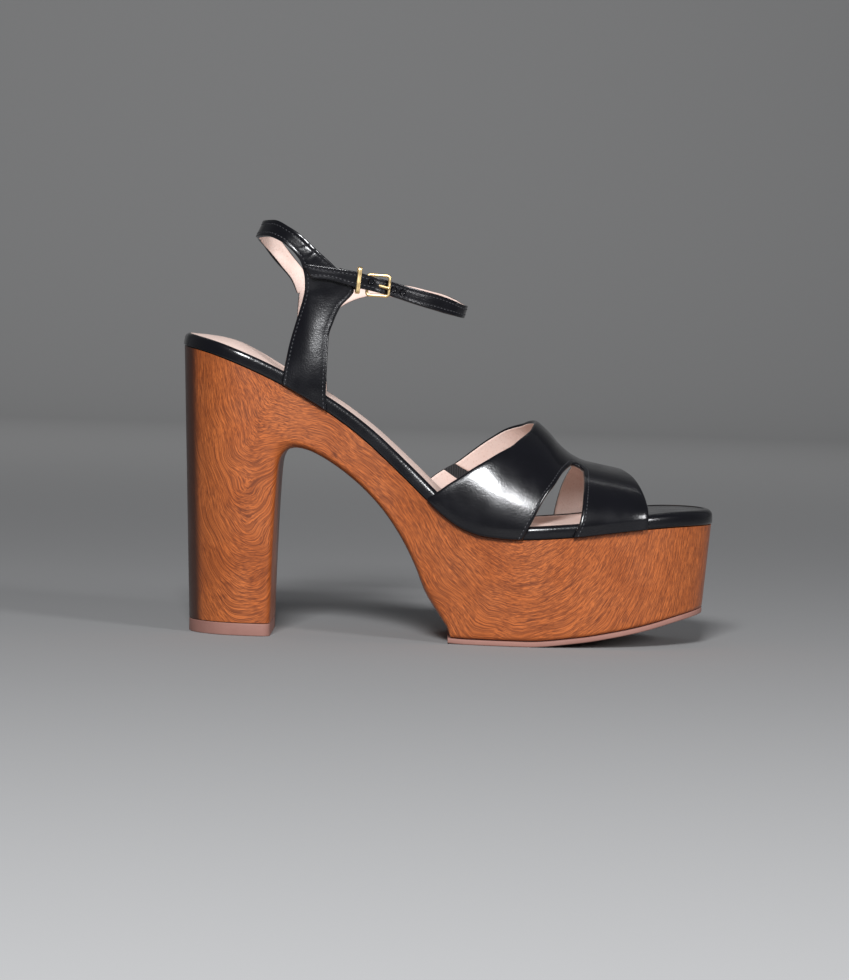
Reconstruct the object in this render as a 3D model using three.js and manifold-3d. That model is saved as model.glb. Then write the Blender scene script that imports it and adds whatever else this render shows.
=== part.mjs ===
// A high platform sandal for the right foot, in millimetres: +X to the toe, +Y to the inner side, +Z up.
// The origin is on the floor under the middle of the shoe.
import * as THREE from "three";
import { mergeVertices } from "three/addons/utils/BufferGeometryUtils.js";
import Module from "manifold-3d";

const wasm = await Module();
wasm.setup();

// Driving sizes of the sole
const soleLength = 229; // footbed, from the heel's back to the toe
const ballWidth = 83; // widest part of the platform
const heelHeight = 122; // top of the heel at its back
const platformHeight = 44.7; // top of the platform at the ball
const toeRise = 7.2; // how much higher the platform's top is at the toe
const toeSpring = 14.6; // the outsole's height over the floor at the toe
const heelRake = 5.2; // how far the heel's back leans in towards the floor
const toeRake = 3; // how far the toe's face leans in towards the floor
const sideDraft = 0.034; // how much each side leans in, per millimetre of depth
const leastDraftShare = 0.2; // of the width, that the lean leaves
const mostRounding = 0.6; // of a half width, that a rounded edge may take
const liftThickness = 5.3;
const outsoleThickness = 2.2;

// Driving sizes of the footbed and its sock
const footbedThickness = 5.8;
const footbedOverhang = 0.5; // how far the footbed stands out past the platform
const rimWidth = 3; // of the footbed's padded edge, beside the sock
const rimRadius = 2.2;
const sockDepth = 1.3; // how deep the sock sits in the rim
const sockCrown = 3.2; // how far the heel cushion rises over its edge

// Driving sizes of the upper
const instepHeight = 51; // the vamp's ridge over the platform, at its rear edge
const vampWall = 2;
const uprightHeight = 4.6; // how far the vamp rises straight up beside the footbed
const ankleRise = 54; // top of the back strap over the heel
const ankleWidth = 54; // across the ankle loop
const strapWall = 1.9;
const elasticWall = 1.2;
const gap = 0.3; // between neighbouring pieces
const bedGap = 0.4; // between the footbed and the platform that it follows

// Driving sizes of the fittings
const buckleLength = 10.6;
const buckleHeight = 9.8;
const buckleWire = 1.3;
const keeperHeight = 11.4;
const keeperWidth = 2;
const keeperWall = 0.8;
const prongRadius = 0.6;
const buckleAlong = 0.3425; // of the buckle's inner bar, from the heel
const keeperAlong = 0.3265;

const woodLength = soleLength - 2 * footbedOverhang;
const loopTop = heelHeight + ankleRise;

// The top of the platform along the foot: its share of the drop from heel to ball, and of the rise to the
// toe
const topTable = [
  { along: 0, drop: 1, rise: 0 },
  { along: 0.06, drop: 0.955, rise: 0 },
  { along: 0.106, drop: 0.907, rise: 0 },
  { along: 0.183, drop: 0.808, rise: 0 },
  { along: 0.277, drop: 0.655, rise: 0 },
  { along: 0.339, drop: 0.526, rise: 0 },
  { along: 0.417, drop: 0.323, rise: 0 },
  { along: 0.464, drop: 0.194, rise: 0 },
  { along: 0.492, drop: 0.12, rise: 0 },
  { along: 0.531, drop: 0.046, rise: 0 },
  { along: 0.57, drop: 0.011, rise: 0 },
  { along: 0.622, drop: 0, rise: 0 },
  { along: 0.73, drop: 0, rise: 0.22 },
  { along: 0.8, drop: 0, rise: 0.51 },
  { along: 0.866, drop: 0, rise: 0.77 },
  { along: 0.937, drop: 0, rise: 0.93 },
  { along: 1, drop: 0, rise: 1 },
];

// The outsole's lower face along the foot, as a share of the toe spring
const springTable = [
  { along: 0.5, spring: 0.03 },
  { along: 0.54, spring: 0 },
  { along: 0.65, spring: 0 },
  { along: 0.75, spring: 0.15 },
  { along: 0.81, spring: 0.31 },
  { along: 0.87, spring: 0.51 },
  { along: 0.93, spring: 0.76 },
  { along: 1, spring: 1.02 },
];

// The plan outline: half widths to the outer and the inner side, as shares of the ball width
const planTable = [
  { along: 0, outer: 0.355, inner: 0.355 },
  { along: 0.13, outer: 0.36, inner: 0.36 },
  { along: 0.25, outer: 0.358, inner: 0.345 },
  { along: 0.38, outer: 0.375, inner: 0.335 },
  { along: 0.5, outer: 0.44, inner: 0.36 },
  { along: 0.6, outer: 0.49, inner: 0.425 },
  { along: 0.67, outer: 0.5, inner: 0.475 },
  { along: 0.74, outer: 0.49, inner: 0.5 },
  { along: 0.82, outer: 0.455, inner: 0.5 },
  { along: 0.9, outer: 0.4, inner: 0.48 },
  { along: 1, outer: 0.34, inner: 0.46 },
];
const heelRound = { length: 0.125, power: 2.2 };
const toeRound = { length: 0.17, power: 2.2 };
const endSliver = 0.0006; // the share of the length that the rounded ends stop short, as a narrow flat

// The heel, shank and platform as one bent bar. Each row joins a point of its inner edge, which runs up
// the heel's front, over the arch and down to the floor, to a point of its outer edge: 0 to 1 up the back,
// 1 to 2 along the top.
const barTable = [
  { along: 0.1803, up: 0.0459, outer: 0, round: 4 },
  { along: 0.1812, up: 0.2, outer: 0.2, round: 4 },
  { along: 0.1835, up: 0.4, outer: 0.42, round: 4 },
  { along: 0.187, up: 0.565, outer: 0.66, round: 4 },
  { along: 0.1895, up: 0.605, outer: 0.82, round: 4.5 },
  { along: 0.196, up: 0.634, outer: 0.94, round: 5 },
  { along: 0.205, up: 0.6495, outer: 1, round: 5 },
  { along: 0.213, up: 0.6552, outer: 1.004, round: 5 },
  { along: 0.221, up: 0.657, outer: 1.015, round: 5 },
  { along: 0.23, up: 0.655, outer: 1.04, round: 5 },
  { along: 0.245, up: 0.6475, outer: 1.09, round: 5 },
  { along: 0.265, up: 0.6305, outer: 1.14, round: 5 },
  { along: 0.291, up: 0.602, outer: 1.2, round: 5 },
  { along: 0.338, up: 0.536, outer: 1.27, round: 5 },
  { along: 0.384, up: 0.448, outer: 1.335, round: 5 },
  { along: 0.422, up: 0.345, outer: 1.39, round: 5 },
  { along: 0.446, up: 0.258, outer: 1.43, round: 5 },
  { along: 0.465, up: 0.174, outer: 1.465, round: 4.5 },
  { along: 0.49, up: 0.102, outer: 1.5, round: 3.5 },
  { along: 0.507, up: 0.058, outer: 1.53, round: 2.5 },
];
const platformBack = { along: 0.514, outer: 1.548, round: 1.6 };
const platformSteps = 15;

// The ridge of the forefoot and instep, as a share of the instep height over the platform
const ridgeTable = [
  { along: 0.44, ridge: 1.7 },
  { along: 0.5, ridge: 1.56 },
  { along: 0.544, ridge: 1.42 },
  { along: 0.587, ridge: 1.25 },
  { along: 0.631, ridge: 1.085 },
  { along: 0.654, ridge: 1 },
  { along: 0.669, ridge: 0.948 },
  { along: 0.686, ridge: 0.88 },
  { along: 0.71, ridge: 0.765 },
  { along: 0.7345, ridge: 0.684 },
  { along: 0.7585, ridge: 0.64 },
  { along: 0.7865, ridge: 0.614 },
  { along: 0.83, ridge: 0.576 },
  { along: 0.88, ridge: 0.52 },
];
const ridgeShift = 3; // the ridge lies this far to the inner side

// Where the vamp is cut, from its outer foot over the top to its inner foot: rear edge, window and front
// edge
const vampTable = [
  { across: 0, rear: 0.461, windowRear: 0.639, windowFront: 0.73, front: 0.868 },
  { across: 0.06, rear: 0.4985, windowRear: 0.66, windowFront: 0.7415, front: 0.8686 },
  { across: 0.12, rear: 0.543, windowRear: 0.677, windowFront: 0.746, front: 0.8682 },
  { across: 0.18, rear: 0.588, windowRear: 0.6948, windowFront: 0.748, front: 0.865 },
  { across: 0.25, rear: 0.63, windowRear: 0.7087, windowFront: 0.7502, front: 0.8594 },
  { across: 0.37, rear: 0.6607, windowRear: 0.7297, windowFront: 0.7511, front: 0.8463 },
  { across: 0.5, rear: 0.663, windowRear: 0.7358, windowFront: 0.7489, front: 0.8297 },
  { across: 0.63, rear: 0.645, windowRear: 0.7271, windowFront: 0.7419, front: 0.8319 },
  { across: 0.75, rear: 0.5987, windowRear: 0.7009, windowFront: 0.7306, front: 0.845 },
  { across: 0.82, rear: 0.562, windowRear: 0.679, windowFront: 0.7227, front: 0.8515 },
  { across: 0.88, rear: 0.5249, windowRear: 0.6585, windowFront: 0.7166, front: 0.855 },
  { across: 0.94, rear: 0.4825, windowRear: 0.6376, windowFront: 0.7109, front: 0.8563 },
  { across: 1, rear: 0.4498, windowRear: 0.6179, windowFront: 0.7066, front: 0.8559 },
];
const windowTop = { outer: 0.375, inner: 0.64 }; // where each window ends, across the vamp
const goreSpan = { from: 0.885, to: 0.912 }; // the elastic, across the vamp's rear strap

// The ankle loop seen from above: half widths as shares of the ankle width
const loopTable = [
  { along: 0.138, half: 0.02 },
  { along: 0.1425, half: 0.17 },
  { along: 0.155, half: 0.3 },
  { along: 0.178, half: 0.41 },
  { along: 0.205, half: 0.47 },
  { along: 0.24, half: 0.5 },
  { along: 0.3, half: 0.505 },
  { along: 0.36, half: 0.485 },
  { along: 0.41, half: 0.43 },
  { along: 0.455, half: 0.345 },
  { along: 0.485, half: 0.26 },
  { along: 0.505, half: 0.19 },
  { along: 0.517, half: 0.135 },
  { along: 0.523, half: 0.1 },
];

// The outer quarter runs on as the back strap, round the heel to the inner quarter. Each row holds its two
// edges: how far along the sole, and the share of the way up from the sole to the top of the ankle loop.
const quarterTable = [
  { side: -1, leftAlong: 0.191, leftUp: 0, rightAlong: 0.276, rightUp: 0 },
  { side: -1, leftAlong: 0.196, leftUp: 0.115, rightAlong: 0.273, rightUp: 0.11 },
  { side: -1, leftAlong: 0.2045, leftUp: 0.285, rightAlong: 0.2735, rightUp: 0.255 },
  { side: -1, leftAlong: 0.212, leftUp: 0.392, rightAlong: 0.2745, rightUp: 0.38 },
  { side: -1, leftAlong: 0.219, leftUp: 0.478, rightAlong: 0.283, rightUp: 0.477 },
  { side: -1, leftAlong: 0.225, leftUp: 0.553, rightAlong: 0.2945, rightUp: 0.562 },
  { side: -1, leftAlong: 0.228, leftUp: 0.615, rightAlong: 0.3135, rightUp: 0.656 },
  { side: -1, leftAlong: 0.2275, leftUp: 0.665, rightAlong: 0.3035, rightUp: 0.712 },
  { side: -1, leftAlong: 0.2245, leftUp: 0.712, rightAlong: 0.282, rightUp: 0.762 },
  { side: -1, leftAlong: 0.2195, leftUp: 0.757, rightAlong: 0.26, rightUp: 0.809 },
  { side: -1, leftAlong: 0.2115, leftUp: 0.79, rightAlong: 0.2405, rightUp: 0.854 },
  { side: -1, leftAlong: 0.198, leftUp: 0.828, rightAlong: 0.222, rightUp: 0.902 },
  { side: -1, leftAlong: 0.1785, leftUp: 0.867, rightAlong: 0.198, rightUp: 0.95 },
  { side: -1, leftAlong: 0.156, leftUp: 0.89, rightAlong: 0.17, rightUp: 0.992 },
  { side: -1, leftAlong: 0.1345, leftUp: 0.882, rightAlong: 0.148, rightUp: 0.99 },
  { side: 1, leftAlong: 0.1345, leftUp: 0.872, rightAlong: 0.148, rightUp: 0.978 },
  { side: 1, leftAlong: 0.146, leftUp: 0.823, rightAlong: 0.165, rightUp: 0.916 },
  { side: 1, leftAlong: 0.171, leftUp: 0.729, rightAlong: 0.193, rightUp: 0.807 },
  { side: 1, leftAlong: 0.194, leftUp: 0.648, rightAlong: 0.2165, rightUp: 0.72 },
  { side: 1, leftAlong: 0.2045, leftUp: 0.575, rightAlong: 0.236, rightUp: 0.615 },
];

// The inner quarter runs on as the ankle strap, round the front and back along the outer side to its tip
const strapTable = [
  { side: 1, leftAlong: 0.191, leftUp: 0, rightAlong: 0.27, rightUp: 0, outset: 0 },
  { side: 1, leftAlong: 0.1965, leftUp: 0.115, rightAlong: 0.266, rightUp: 0.11, outset: 0 },
  { side: 1, leftAlong: 0.2018, leftUp: 0.275, rightAlong: 0.262, rightUp: 0.24, outset: 0 },
  { side: 1, leftAlong: 0.2048, leftUp: 0.41, rightAlong: 0.262, rightUp: 0.365, outset: 0 },
  { side: 1, leftAlong: 0.2074, leftUp: 0.51, rightAlong: 0.2686, rightUp: 0.465, outset: 0 },
  { side: 1, leftAlong: 0.214, leftUp: 0.6, rightAlong: 0.2825, rightUp: 0.544, outset: 0 },
  { side: 1, leftAlong: 0.238, leftUp: 0.675, rightAlong: 0.3079, rightUp: 0.611, outset: 0 },
  { side: 1, leftAlong: 0.2751, leftUp: 0.737, rightAlong: 0.3358, rightUp: 0.656, outset: 0 },
  { side: 1, leftAlong: 0.3166, leftUp: 0.76, rightAlong: 0.3646, rightUp: 0.689, outset: 0 },
  { side: 1, leftAlong: 0.3843, leftUp: 0.764, rightAlong: 0.3891, rightUp: 0.697, outset: 0 },
  { side: 1, leftAlong: 0.4301, leftUp: 0.77, rightAlong: 0.4323, rightUp: 0.71, outset: 0 },
  { side: 1, leftAlong: 0.4782, leftUp: 0.757, rightAlong: 0.476, rightUp: 0.704, outset: 0 },
  { side: 1, leftAlong: 0.508, leftUp: 0.745, rightAlong: 0.503, rightUp: 0.698, outset: 0 },
  { side: 0.9, leftAlong: 0.521, leftUp: 0.739, rightAlong: 0.5145, rightUp: 0.694, outset: 0 },
  { side: 0, leftAlong: 0.526, leftUp: 0.736, rightAlong: 0.5195, rightUp: 0.691, outset: 0 },
  { side: -0.9, leftAlong: 0.521, leftUp: 0.735, rightAlong: 0.5145, rightUp: 0.69, outset: 0 },
  { side: -1, leftAlong: 0.508, leftUp: 0.74, rightAlong: 0.503, rightUp: 0.69, outset: 0 },
  { side: -1, leftAlong: 0.4725, leftUp: 0.748, rightAlong: 0.4734, rightUp: 0.689, outset: 0 },
  { side: -1, leftAlong: 0.4297, leftUp: 0.748, rightAlong: 0.4306, rightUp: 0.687, outset: 0 },
  { side: -1, leftAlong: 0.3873, leftUp: 0.744, rightAlong: 0.386, rightUp: 0.688, outset: 0 },
  { side: -1, leftAlong: 0.352, leftUp: 0.747, rightAlong: 0.352, rightUp: 0.685, outset: 0.85 },
  { side: -1, leftAlong: 0.3197, leftUp: 0.752, rightAlong: 0.3205, rightUp: 0.681, outset: 1 },
  { side: -1, leftAlong: 0.275, leftUp: 0.753, rightAlong: 0.275, rightUp: 0.69, outset: 1 },
  { side: -1, leftAlong: 0.2389, leftUp: 0.757, rightAlong: 0.245, rightUp: 0.692, outset: 1 },
];
const tailOutset = strapWall + gap; // the strap's tail lies this far outside the quarter

// The buckle's tab, from the quarter's front corner to the buckle's inner bar
const tabTable = [
  { side: -1, leftAlong: 0.2895, leftUp: 0.762, rightAlong: 0.3215, rightUp: 0.662 },
  { side: -1, leftAlong: 0.311, leftUp: 0.752, rightAlong: 0.3265, rightUp: 0.676 },
  { side: -1, leftAlong: 0.3375, leftUp: 0.744, rightAlong: 0.3375, rightUp: 0.688 },
];

// Colours and finishes
const finishes = {
  wood: { color: 0x9a5528, roughness: 0.4, metalness: 0 },
  rubber: { color: 0x8a6258, roughness: 0.7, metalness: 0 },
  blackLeather: { color: 0x131316, roughness: 0.35, metalness: 0 },
  paleLeather: { color: 0xeed9c9, roughness: 0.6, metalness: 0 },
  elastic: { color: 0x18181a, roughness: 0.9, metalness: 0 },
  gold: { color: 0xd9a75c, roughness: 0.25, metalness: 1 },
};

// A smooth curve through a table's column that never overshoots its values.
function columnCurve(table, key, column) {
  const xs = table.map((row) => row[key]);
  const ys = table.map((row) => row[column]);
  const slopes = xs.slice(1).map((x, i) => (ys[i + 1] - ys[i]) / (x - xs[i]));
  const tangents = ys.map((_, i) => {
    if (i === 0) return slopes[0];
    if (i === ys.length - 1) return slopes[i - 1];
    const [before, after] = [slopes[i - 1], slopes[i]];
    return before * after <= 0 ? 0 : (2 * before * after) / (before + after);
  });
  return (x) => {
    const at = THREE.MathUtils.clamp(x, xs[0], xs[xs.length - 1]);
    let i = 0;
    while (i < xs.length - 2 && at > xs[i + 1]) i += 1;
    const span = xs[i + 1] - xs[i];
    const t = (at - xs[i]) / span;
    const [t2, t3] = [t * t, t * t * t];
    return (
      ys[i] * (2 * t3 - 3 * t2 + 1) +
      span * tangents[i] * (t3 - 2 * t2 + t) +
      ys[i + 1] * (3 * t2 - 2 * t3) +
      span * tangents[i + 1] * (t3 - t2)
    );
  };
}

// The same for every column of a table, read by row number.
function rowCurve(table) {
  const numbered = table.map((row, index) => ({ ...row, index }));
  const columns = Object.keys(table[0]).map((name) => [name, columnCurve(numbered, "index", name)]);
  return (index) => Object.fromEntries(columns.map(([name, curve]) => [name, curve(index)]));
}

const drop = columnCurve(topTable, "along", "drop");
const rise = columnCurve(topTable, "along", "rise");
const spring = columnCurve(springTable, "along", "spring");
const planOuter = columnCurve(planTable, "along", "outer");
const planInner = columnCurve(planTable, "along", "inner");
const ridge = columnCurve(ridgeTable, "along", "ridge");
const loopHalf = columnCurve(loopTable, "along", "half");

const alongToX = (along) => (along - 0.5) * soleLength;
const xToAlong = (x) => x / soleLength + 0.5;

// Height of the platform's top at x.
function topLine(x) {
  const along = xToAlong(x);
  return platformHeight + drop(along) * (heelHeight - platformHeight) + rise(along) * toeRise;
}

// Height of the outsole's lower face at x.
const outsoleBottom = (x) => spring(xToAlong(x)) * toeSpring;

// How much of its width an outline keeps near its rounded ends.
function endRound(along) {
  const fromHeel = Math.max(0, 1 - along / heelRound.length);
  const fromToe = Math.max(0, 1 - (1 - along) / toeRound.length);
  const heel = (1 - fromHeel ** heelRound.power) ** (1 / heelRound.power);
  const toe = (1 - fromToe ** toeRound.power) ** (1 / toeRound.power);
  return heel * toe;
}

// The plan outline's y on one side (-1 outer, 1 inner), for a piece that stands out past the wood by grow.
function outlineY(side, x, grow, backLean = 0, frontLean = 0) {
  const back = -woodLength / 2 - grow + backLean;
  const front = woodLength / 2 + grow - frontLean;
  const along = THREE.MathUtils.clamp((x - back) / (front - back), endSliver, 1 - endSliver);
  const plan = side < 0 ? planOuter : planInner;
  return side * (plan(along) * ballWidth + grow) * endRound(along);
}

// A closed solid through rings of equal length, each with its outer side first and its inner side mirrored
// after it.
function loft(rings) {
  const count = rings[0].length;
  const positions = rings.flat().flatMap((p) => [p.x, p.y, p.z]);
  const index = [];
  const quad = (a, b, c, d) => index.push(a, b, c, a, c, d);
  for (let r = 0; r < rings.length - 1; r += 1)
    for (let i = 0; i < count; i += 1) {
      const next = (i + 1) % count;
      quad(r * count + i, r * count + next, (r + 1) * count + next, (r + 1) * count + i);
    }
  const last = (rings.length - 1) * count;
  for (let i = 0; i < count / 2 - 1; i += 1) {
    const mirror = count - 1 - i;
    quad(mirror, mirror - 1, i + 1, i);
    quad(last + i, last + i + 1, last + mirror - 1, last + mirror);
  }
  return solidFrom(positions, index);
}

// A wall of even thickness over a grid of points on its middle surface. keep says which cells are there.
function wall(points, thickness, keep = () => true) {
  const rows = points.length;
  const columns = points[0].length;
  const at = (r, c) => points[Math.min(rows - 1, Math.max(0, r))][Math.min(columns - 1, Math.max(0, c))];
  const positions = [];
  for (const way of [0.5, -0.5])
    for (let r = 0; r < rows; r += 1)
      for (let c = 0; c < columns; c += 1) {
        const alongRows = at(r + 1, c).clone().sub(at(r - 1, c));
        const alongColumns = at(r, c + 1).clone().sub(at(r, c - 1));
        const normal = alongRows.cross(alongColumns).normalize();
        positions.push(...points[r][c].clone().addScaledVector(normal, way * thickness));
      }
  const front = (r, c) => r * columns + c;
  const rear = (r, c) => rows * columns + front(r, c);
  const kept = (r, c) => r >= 0 && c >= 0 && r < rows - 1 && c < columns - 1 && keep(r, c);
  const index = [];
  const quad = (a, b, c, d) => index.push(a, b, c, a, c, d);
  for (let r = 0; r < rows - 1; r += 1)
    for (let c = 0; c < columns - 1; c += 1) {
      if (!kept(r, c)) continue;
      quad(front(r, c), front(r + 1, c), front(r + 1, c + 1), front(r, c + 1));
      quad(rear(r, c), rear(r, c + 1), rear(r + 1, c + 1), rear(r + 1, c));
      if (!kept(r - 1, c)) quad(front(r, c), front(r, c + 1), rear(r, c + 1), rear(r, c));
      if (!kept(r + 1, c)) quad(front(r + 1, c + 1), front(r + 1, c), rear(r + 1, c), rear(r + 1, c + 1));
      if (!kept(r, c - 1)) quad(front(r + 1, c), front(r, c), rear(r, c), rear(r + 1, c));
      if (!kept(r, c + 1)) quad(front(r, c + 1), front(r + 1, c + 1), rear(r + 1, c + 1), rear(r, c + 1));
    }
  return solidFrom(positions, index);
}

const mergeDistance = 1e-4; // closer corners are one

// A manifold solid from raw triangles, turned face out.
function solidFrom(positions, index) {
  const geometry = new THREE.BufferGeometry();
  geometry.setAttribute("position", new THREE.Float32BufferAttribute(positions, 3));
  geometry.setIndex(index);
  const merged = mergeVertices(geometry, mergeDistance);
  const triangles = [];
  for (let i = 0; i < merged.index.count; i += 3) {
    const [a, b, c] = [0, 1, 2].map((k) => merged.index.getX(i + k));
    if (a !== b && b !== c && c !== a) triangles.push(a, b, c);
  }
  const make = (triVerts) =>
    new wasm.Manifold(
      new wasm.Mesh({ numProp: 3, vertProperties: merged.attributes.position.array, triVerts }),
    );
  const solid = make(new Uint32Array(triangles));
  return solid.volume() > 0 ? solid : make(new Uint32Array(triangles.reverse()));
}

// A closed solid from one of the ready geometries, placed by a matrix.
function placed(geometry, matrix) {
  geometry.applyMatrix4(matrix);
  geometry.deleteAttribute("normal");
  geometry.deleteAttribute("uv");
  const merged = mergeVertices(geometry, mergeDistance);
  return solidFrom(Array.from(merged.attributes.position.array), Array.from(merged.index.array));
}

const sandal = new THREE.Group();

// Adds a finished piece to the sandal as a named mesh.
function addPiece(name, solid, finish) {
  const mesh = solid.getMesh();
  const geometry = new THREE.BufferGeometry();
  geometry.setAttribute("position", new THREE.BufferAttribute(mesh.vertProperties, 3));
  geometry.setIndex(new THREE.BufferAttribute(mesh.triVerts, 1));
  geometry.computeVertexNormals();
  const piece = new THREE.Mesh(geometry, new THREE.MeshStandardMaterial(finishes[finish]));
  piece.name = name;
  sandal.add(piece);
}

const steps = (count, ease = (t) => t) => Array.from({ length: count + 1 }, (_, i) => ease(i / count));
const easeEnds = (t) => (1 - Math.cos(Math.PI * t)) / 2;
const easeLast = (t) => 1 - (1 - t) ** 2;
const point = (x, y, z) => new THREE.Vector3(x, y, z);
const mix = THREE.MathUtils.lerp;

// The wood's outline at a depth below the top: its back and toe faces lean in, and so do its sides.
function woodY(side, x, z) {
  const backLean = heelRake * Math.max(0, 1 - z / heelHeight);
  const toeTop = topLine(woodLength / 2);
  const frontLean = toeRake * THREE.MathUtils.clamp((toeTop - z) / (toeTop - toeSpring), 0, 1);
  const draft = sideDraft * Math.max(0, topLine(x) - z);
  const y = outlineY(side, x, 0, backLean, frontLean);
  return y * Math.max(leastDraftShare, 1 - draft / (ballWidth * planTable[0].outer));
}

const woodBaseZ = liftThickness + gap;
const platformBottom = (x) => outsoleBottom(x) + outsoleThickness + gap;

// The outer edge of the bent bar: up the heel's back, then along the top.
function barOuter(position) {
  if (position <= 1) {
    const z = mix(woodBaseZ, topLine(-woodLength / 2), position);
    return point(-woodLength / 2 + heelRake * (1 - z / heelHeight), 0, z);
  }
  const x = mix(-woodLength / 2, woodLength / 2, position - 1);
  return point(x, 0, topLine(x));
}

// The rows of the bent bar, each with the two ends of a line across its side.
function barRows() {
  const curve = rowCurve(barTable);
  const column = steps(3 * (barTable.length - 1)).map((t) => {
    const row = curve(t * (barTable.length - 1));
    const z = Math.max(woodBaseZ, row.up * heelHeight);
    return { inner: point(alongToX(row.along), 0, z), outer: barOuter(row.outer), round: row.round };
  });
  const frontX = woodLength / 2 - toeRake;
  const platform = steps(platformSteps, easeLast).map((t) => {
    const x = mix(alongToX(platformBack.along), frontX, t);
    const outer = barOuter(mix(platformBack.outer, 2, t));
    return { inner: point(x, 0, platformBottom(x)), outer, round: platformBack.round };
  });
  return [...column, ...platform];
}

// How much a rounded edge of radius r takes off a side, at a distance from the edge.
const roundOff = (r, distance) => (distance >= r ? 0 : r - Math.sqrt(r * r - (r - distance) ** 2));

// The ring of the bar at one row: up its outer side and down its inner side.
function barRing({ inner, outer, round }) {
  const length = inner.distanceTo(outer);
  const rounding = [0, 0.12, 0.4, 1].map((share) => (share * round) / length);
  const rest = steps(8, (t) => Math.sin((Math.PI / 2) * t)).slice(1);
  const shares = [...rounding, ...rest.map((t) => mix(rounding[3], 1, t))];
  const sidePoint = (side) => (share) => {
    const p = inner.clone().lerp(outer, share);
    const y = woodY(side, p.x, p.z);
    const taken = Math.min(roundOff(round, share * length), Math.abs(y) * mostRounding);
    return point(p.x, y - side * taken, p.z);
  };
  return [...shares.map(sidePoint(-1)), ...shares.map(sidePoint(1)).reverse()];
}

addPiece("platform_heel", loft(barRows().map(barRing)), "wood");

// The rubber lift under the heel, with the column's own outline.
function heelLift() {
  const backX = -woodLength / 2 + heelRake;
  const frontX = alongToX(barTable[0].along);
  const round = barTable[0].round;
  const rings = steps(14, easeEnds).map((t) => {
    const x = mix(backX, frontX, t);
    const side = (way, z) => {
      const y = woodY(way, x, z);
      return point(x, y - way * Math.min(roundOff(round, frontX - x), Math.abs(y) * mostRounding), z);
    };
    return [side(-1, 0), side(-1, liftThickness), side(1, liftThickness), side(1, 0)];
  });
  return loft(rings);
}
addPiece("heel_top_lift", heelLift(), "rubber");

// The thin outsole under the platform, with its toe spring.
function outsole() {
  const backX = alongToX(platformBack.along) - outsoleThickness / 2;
  const frontX = woodLength / 2 - toeRake;
  const rings = steps(20, easeLast).map((t) => {
    const x = mix(backX, frontX, t);
    const low = outsoleBottom(x);
    const side = (way, z) => point(x, woodY(way, x, low + outsoleThickness), z);
    return [side(-1, low), side(-1, low + outsoleThickness), side(1, low + outsoleThickness), side(1, low)];
  });
  return loft(rings);
}
addPiece("forefoot_outsole", outsole(), "rubber");

// Places a point of a layer that follows the platform's top, by its height off that top.
function onTop(x, y, height) {
  const slope = topLine(x + 0.5) - topLine(x - 0.5);
  const normal = point(-slope, 0, 1).normalize();
  return point(x + normal.x * height, y, topLine(x) + normal.z * height);
}

// The sock's outline beside the footbed's rim, and the rise of its cushion, as shares of their sizes
const sockTable = [
  { along: 0, rim: 0.5, crown: 0.1 },
  { along: 0.08, rim: 0.5, crown: 0.75 },
  { along: 0.16, rim: 0.5, crown: 1 },
  { along: 0.28, rim: 0.5, crown: 0.55 },
  { along: 0.42, rim: 0.55, crown: 0.45 },
  { along: 0.55, rim: 0.9, crown: 0.25 },
  { along: 0.87, rim: 1, crown: 0.15 },
];
const sockSection = [
  { out: 0.88, up: 0.4 },
  { out: 0.6, up: 0.8 },
  { out: 0.25, up: 1 },
];
const sockFront = { along: 0.87, round: 0.09 }; // where the sock ends, and the length of its round end
const rimShare = columnCurve(sockTable, "along", "rim");
const crownShare = columnCurve(sockTable, "along", "crown");

// Half width of the sock at x, or of its seat, which is larger by grow.
function sockY(side, x, grow) {
  const along = xToAlong(x - grow);
  const edge = outlineY(side, x, footbedOverhang - rimWidth * rimShare(along) + grow);
  const past = THREE.MathUtils.clamp(1 - (sockFront.along - along) / sockFront.round, 0, 0.995);
  return edge * Math.sqrt(1 - past * past);
}

// Stations of a sock-shaped solid, close together at its round ends.
function sockStations(grow) {
  const back = -woodLength / 2 - footbedOverhang + rimWidth * rimShare(0) - grow;
  const front = alongToX(sockFront.along) + grow;
  const [heelEnd, toeStart] = [alongToX(heelRound.length), alongToX(sockFront.along - sockFront.round)];
  return [
    ...steps(8, (t) => mix(back, heelEnd, t * t)),
    ...steps(18, (t) => mix(heelEnd, toeStart, t)).slice(1),
    ...steps(8, (t) => mix(toeStart, front, easeLast(t))).slice(1),
  ];
}

// The sock on its padding, with a cushion that rises under the heel.
function sockRing(x) {
  const sideOf = (side) => {
    const half = sockY(side, x, 0);
    const wide = Math.min(1, Math.abs(half) / (ballWidth * planTable[0].outer));
    const crown = sockCrown * crownShare(xToAlong(x)) * wide;
    const edge = [footbedThickness - sockDepth + gap, footbedThickness - gap].map((up) => onTop(x, half, up));
    const dome = sockSection.map(({ out, up }) => onTop(x, half * out, footbedThickness + crown * up));
    return [...edge, ...dome];
  };
  return [...sideOf(-1), ...sideOf(1).reverse()];
}

// The seat that the sock lies in, as a solid to cut away.
function seatRing(x) {
  const sideOf = (side) => {
    const half = sockY(side, x, gap);
    return [footbedThickness - sockDepth, footbedThickness * 2].map((height) => onTop(x, half, height));
  };
  return [...sideOf(-1), ...sideOf(1).reverse()];
}

// The edge of the footbed, from its underside to its side, as shares of the rim's radius. Its upper edge
// is rounder.
const rimSection = [
  { out: 0.6, up: 0 },
  { out: 1, up: 0.6 },
];
const rimRoundness = 1.6;

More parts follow.
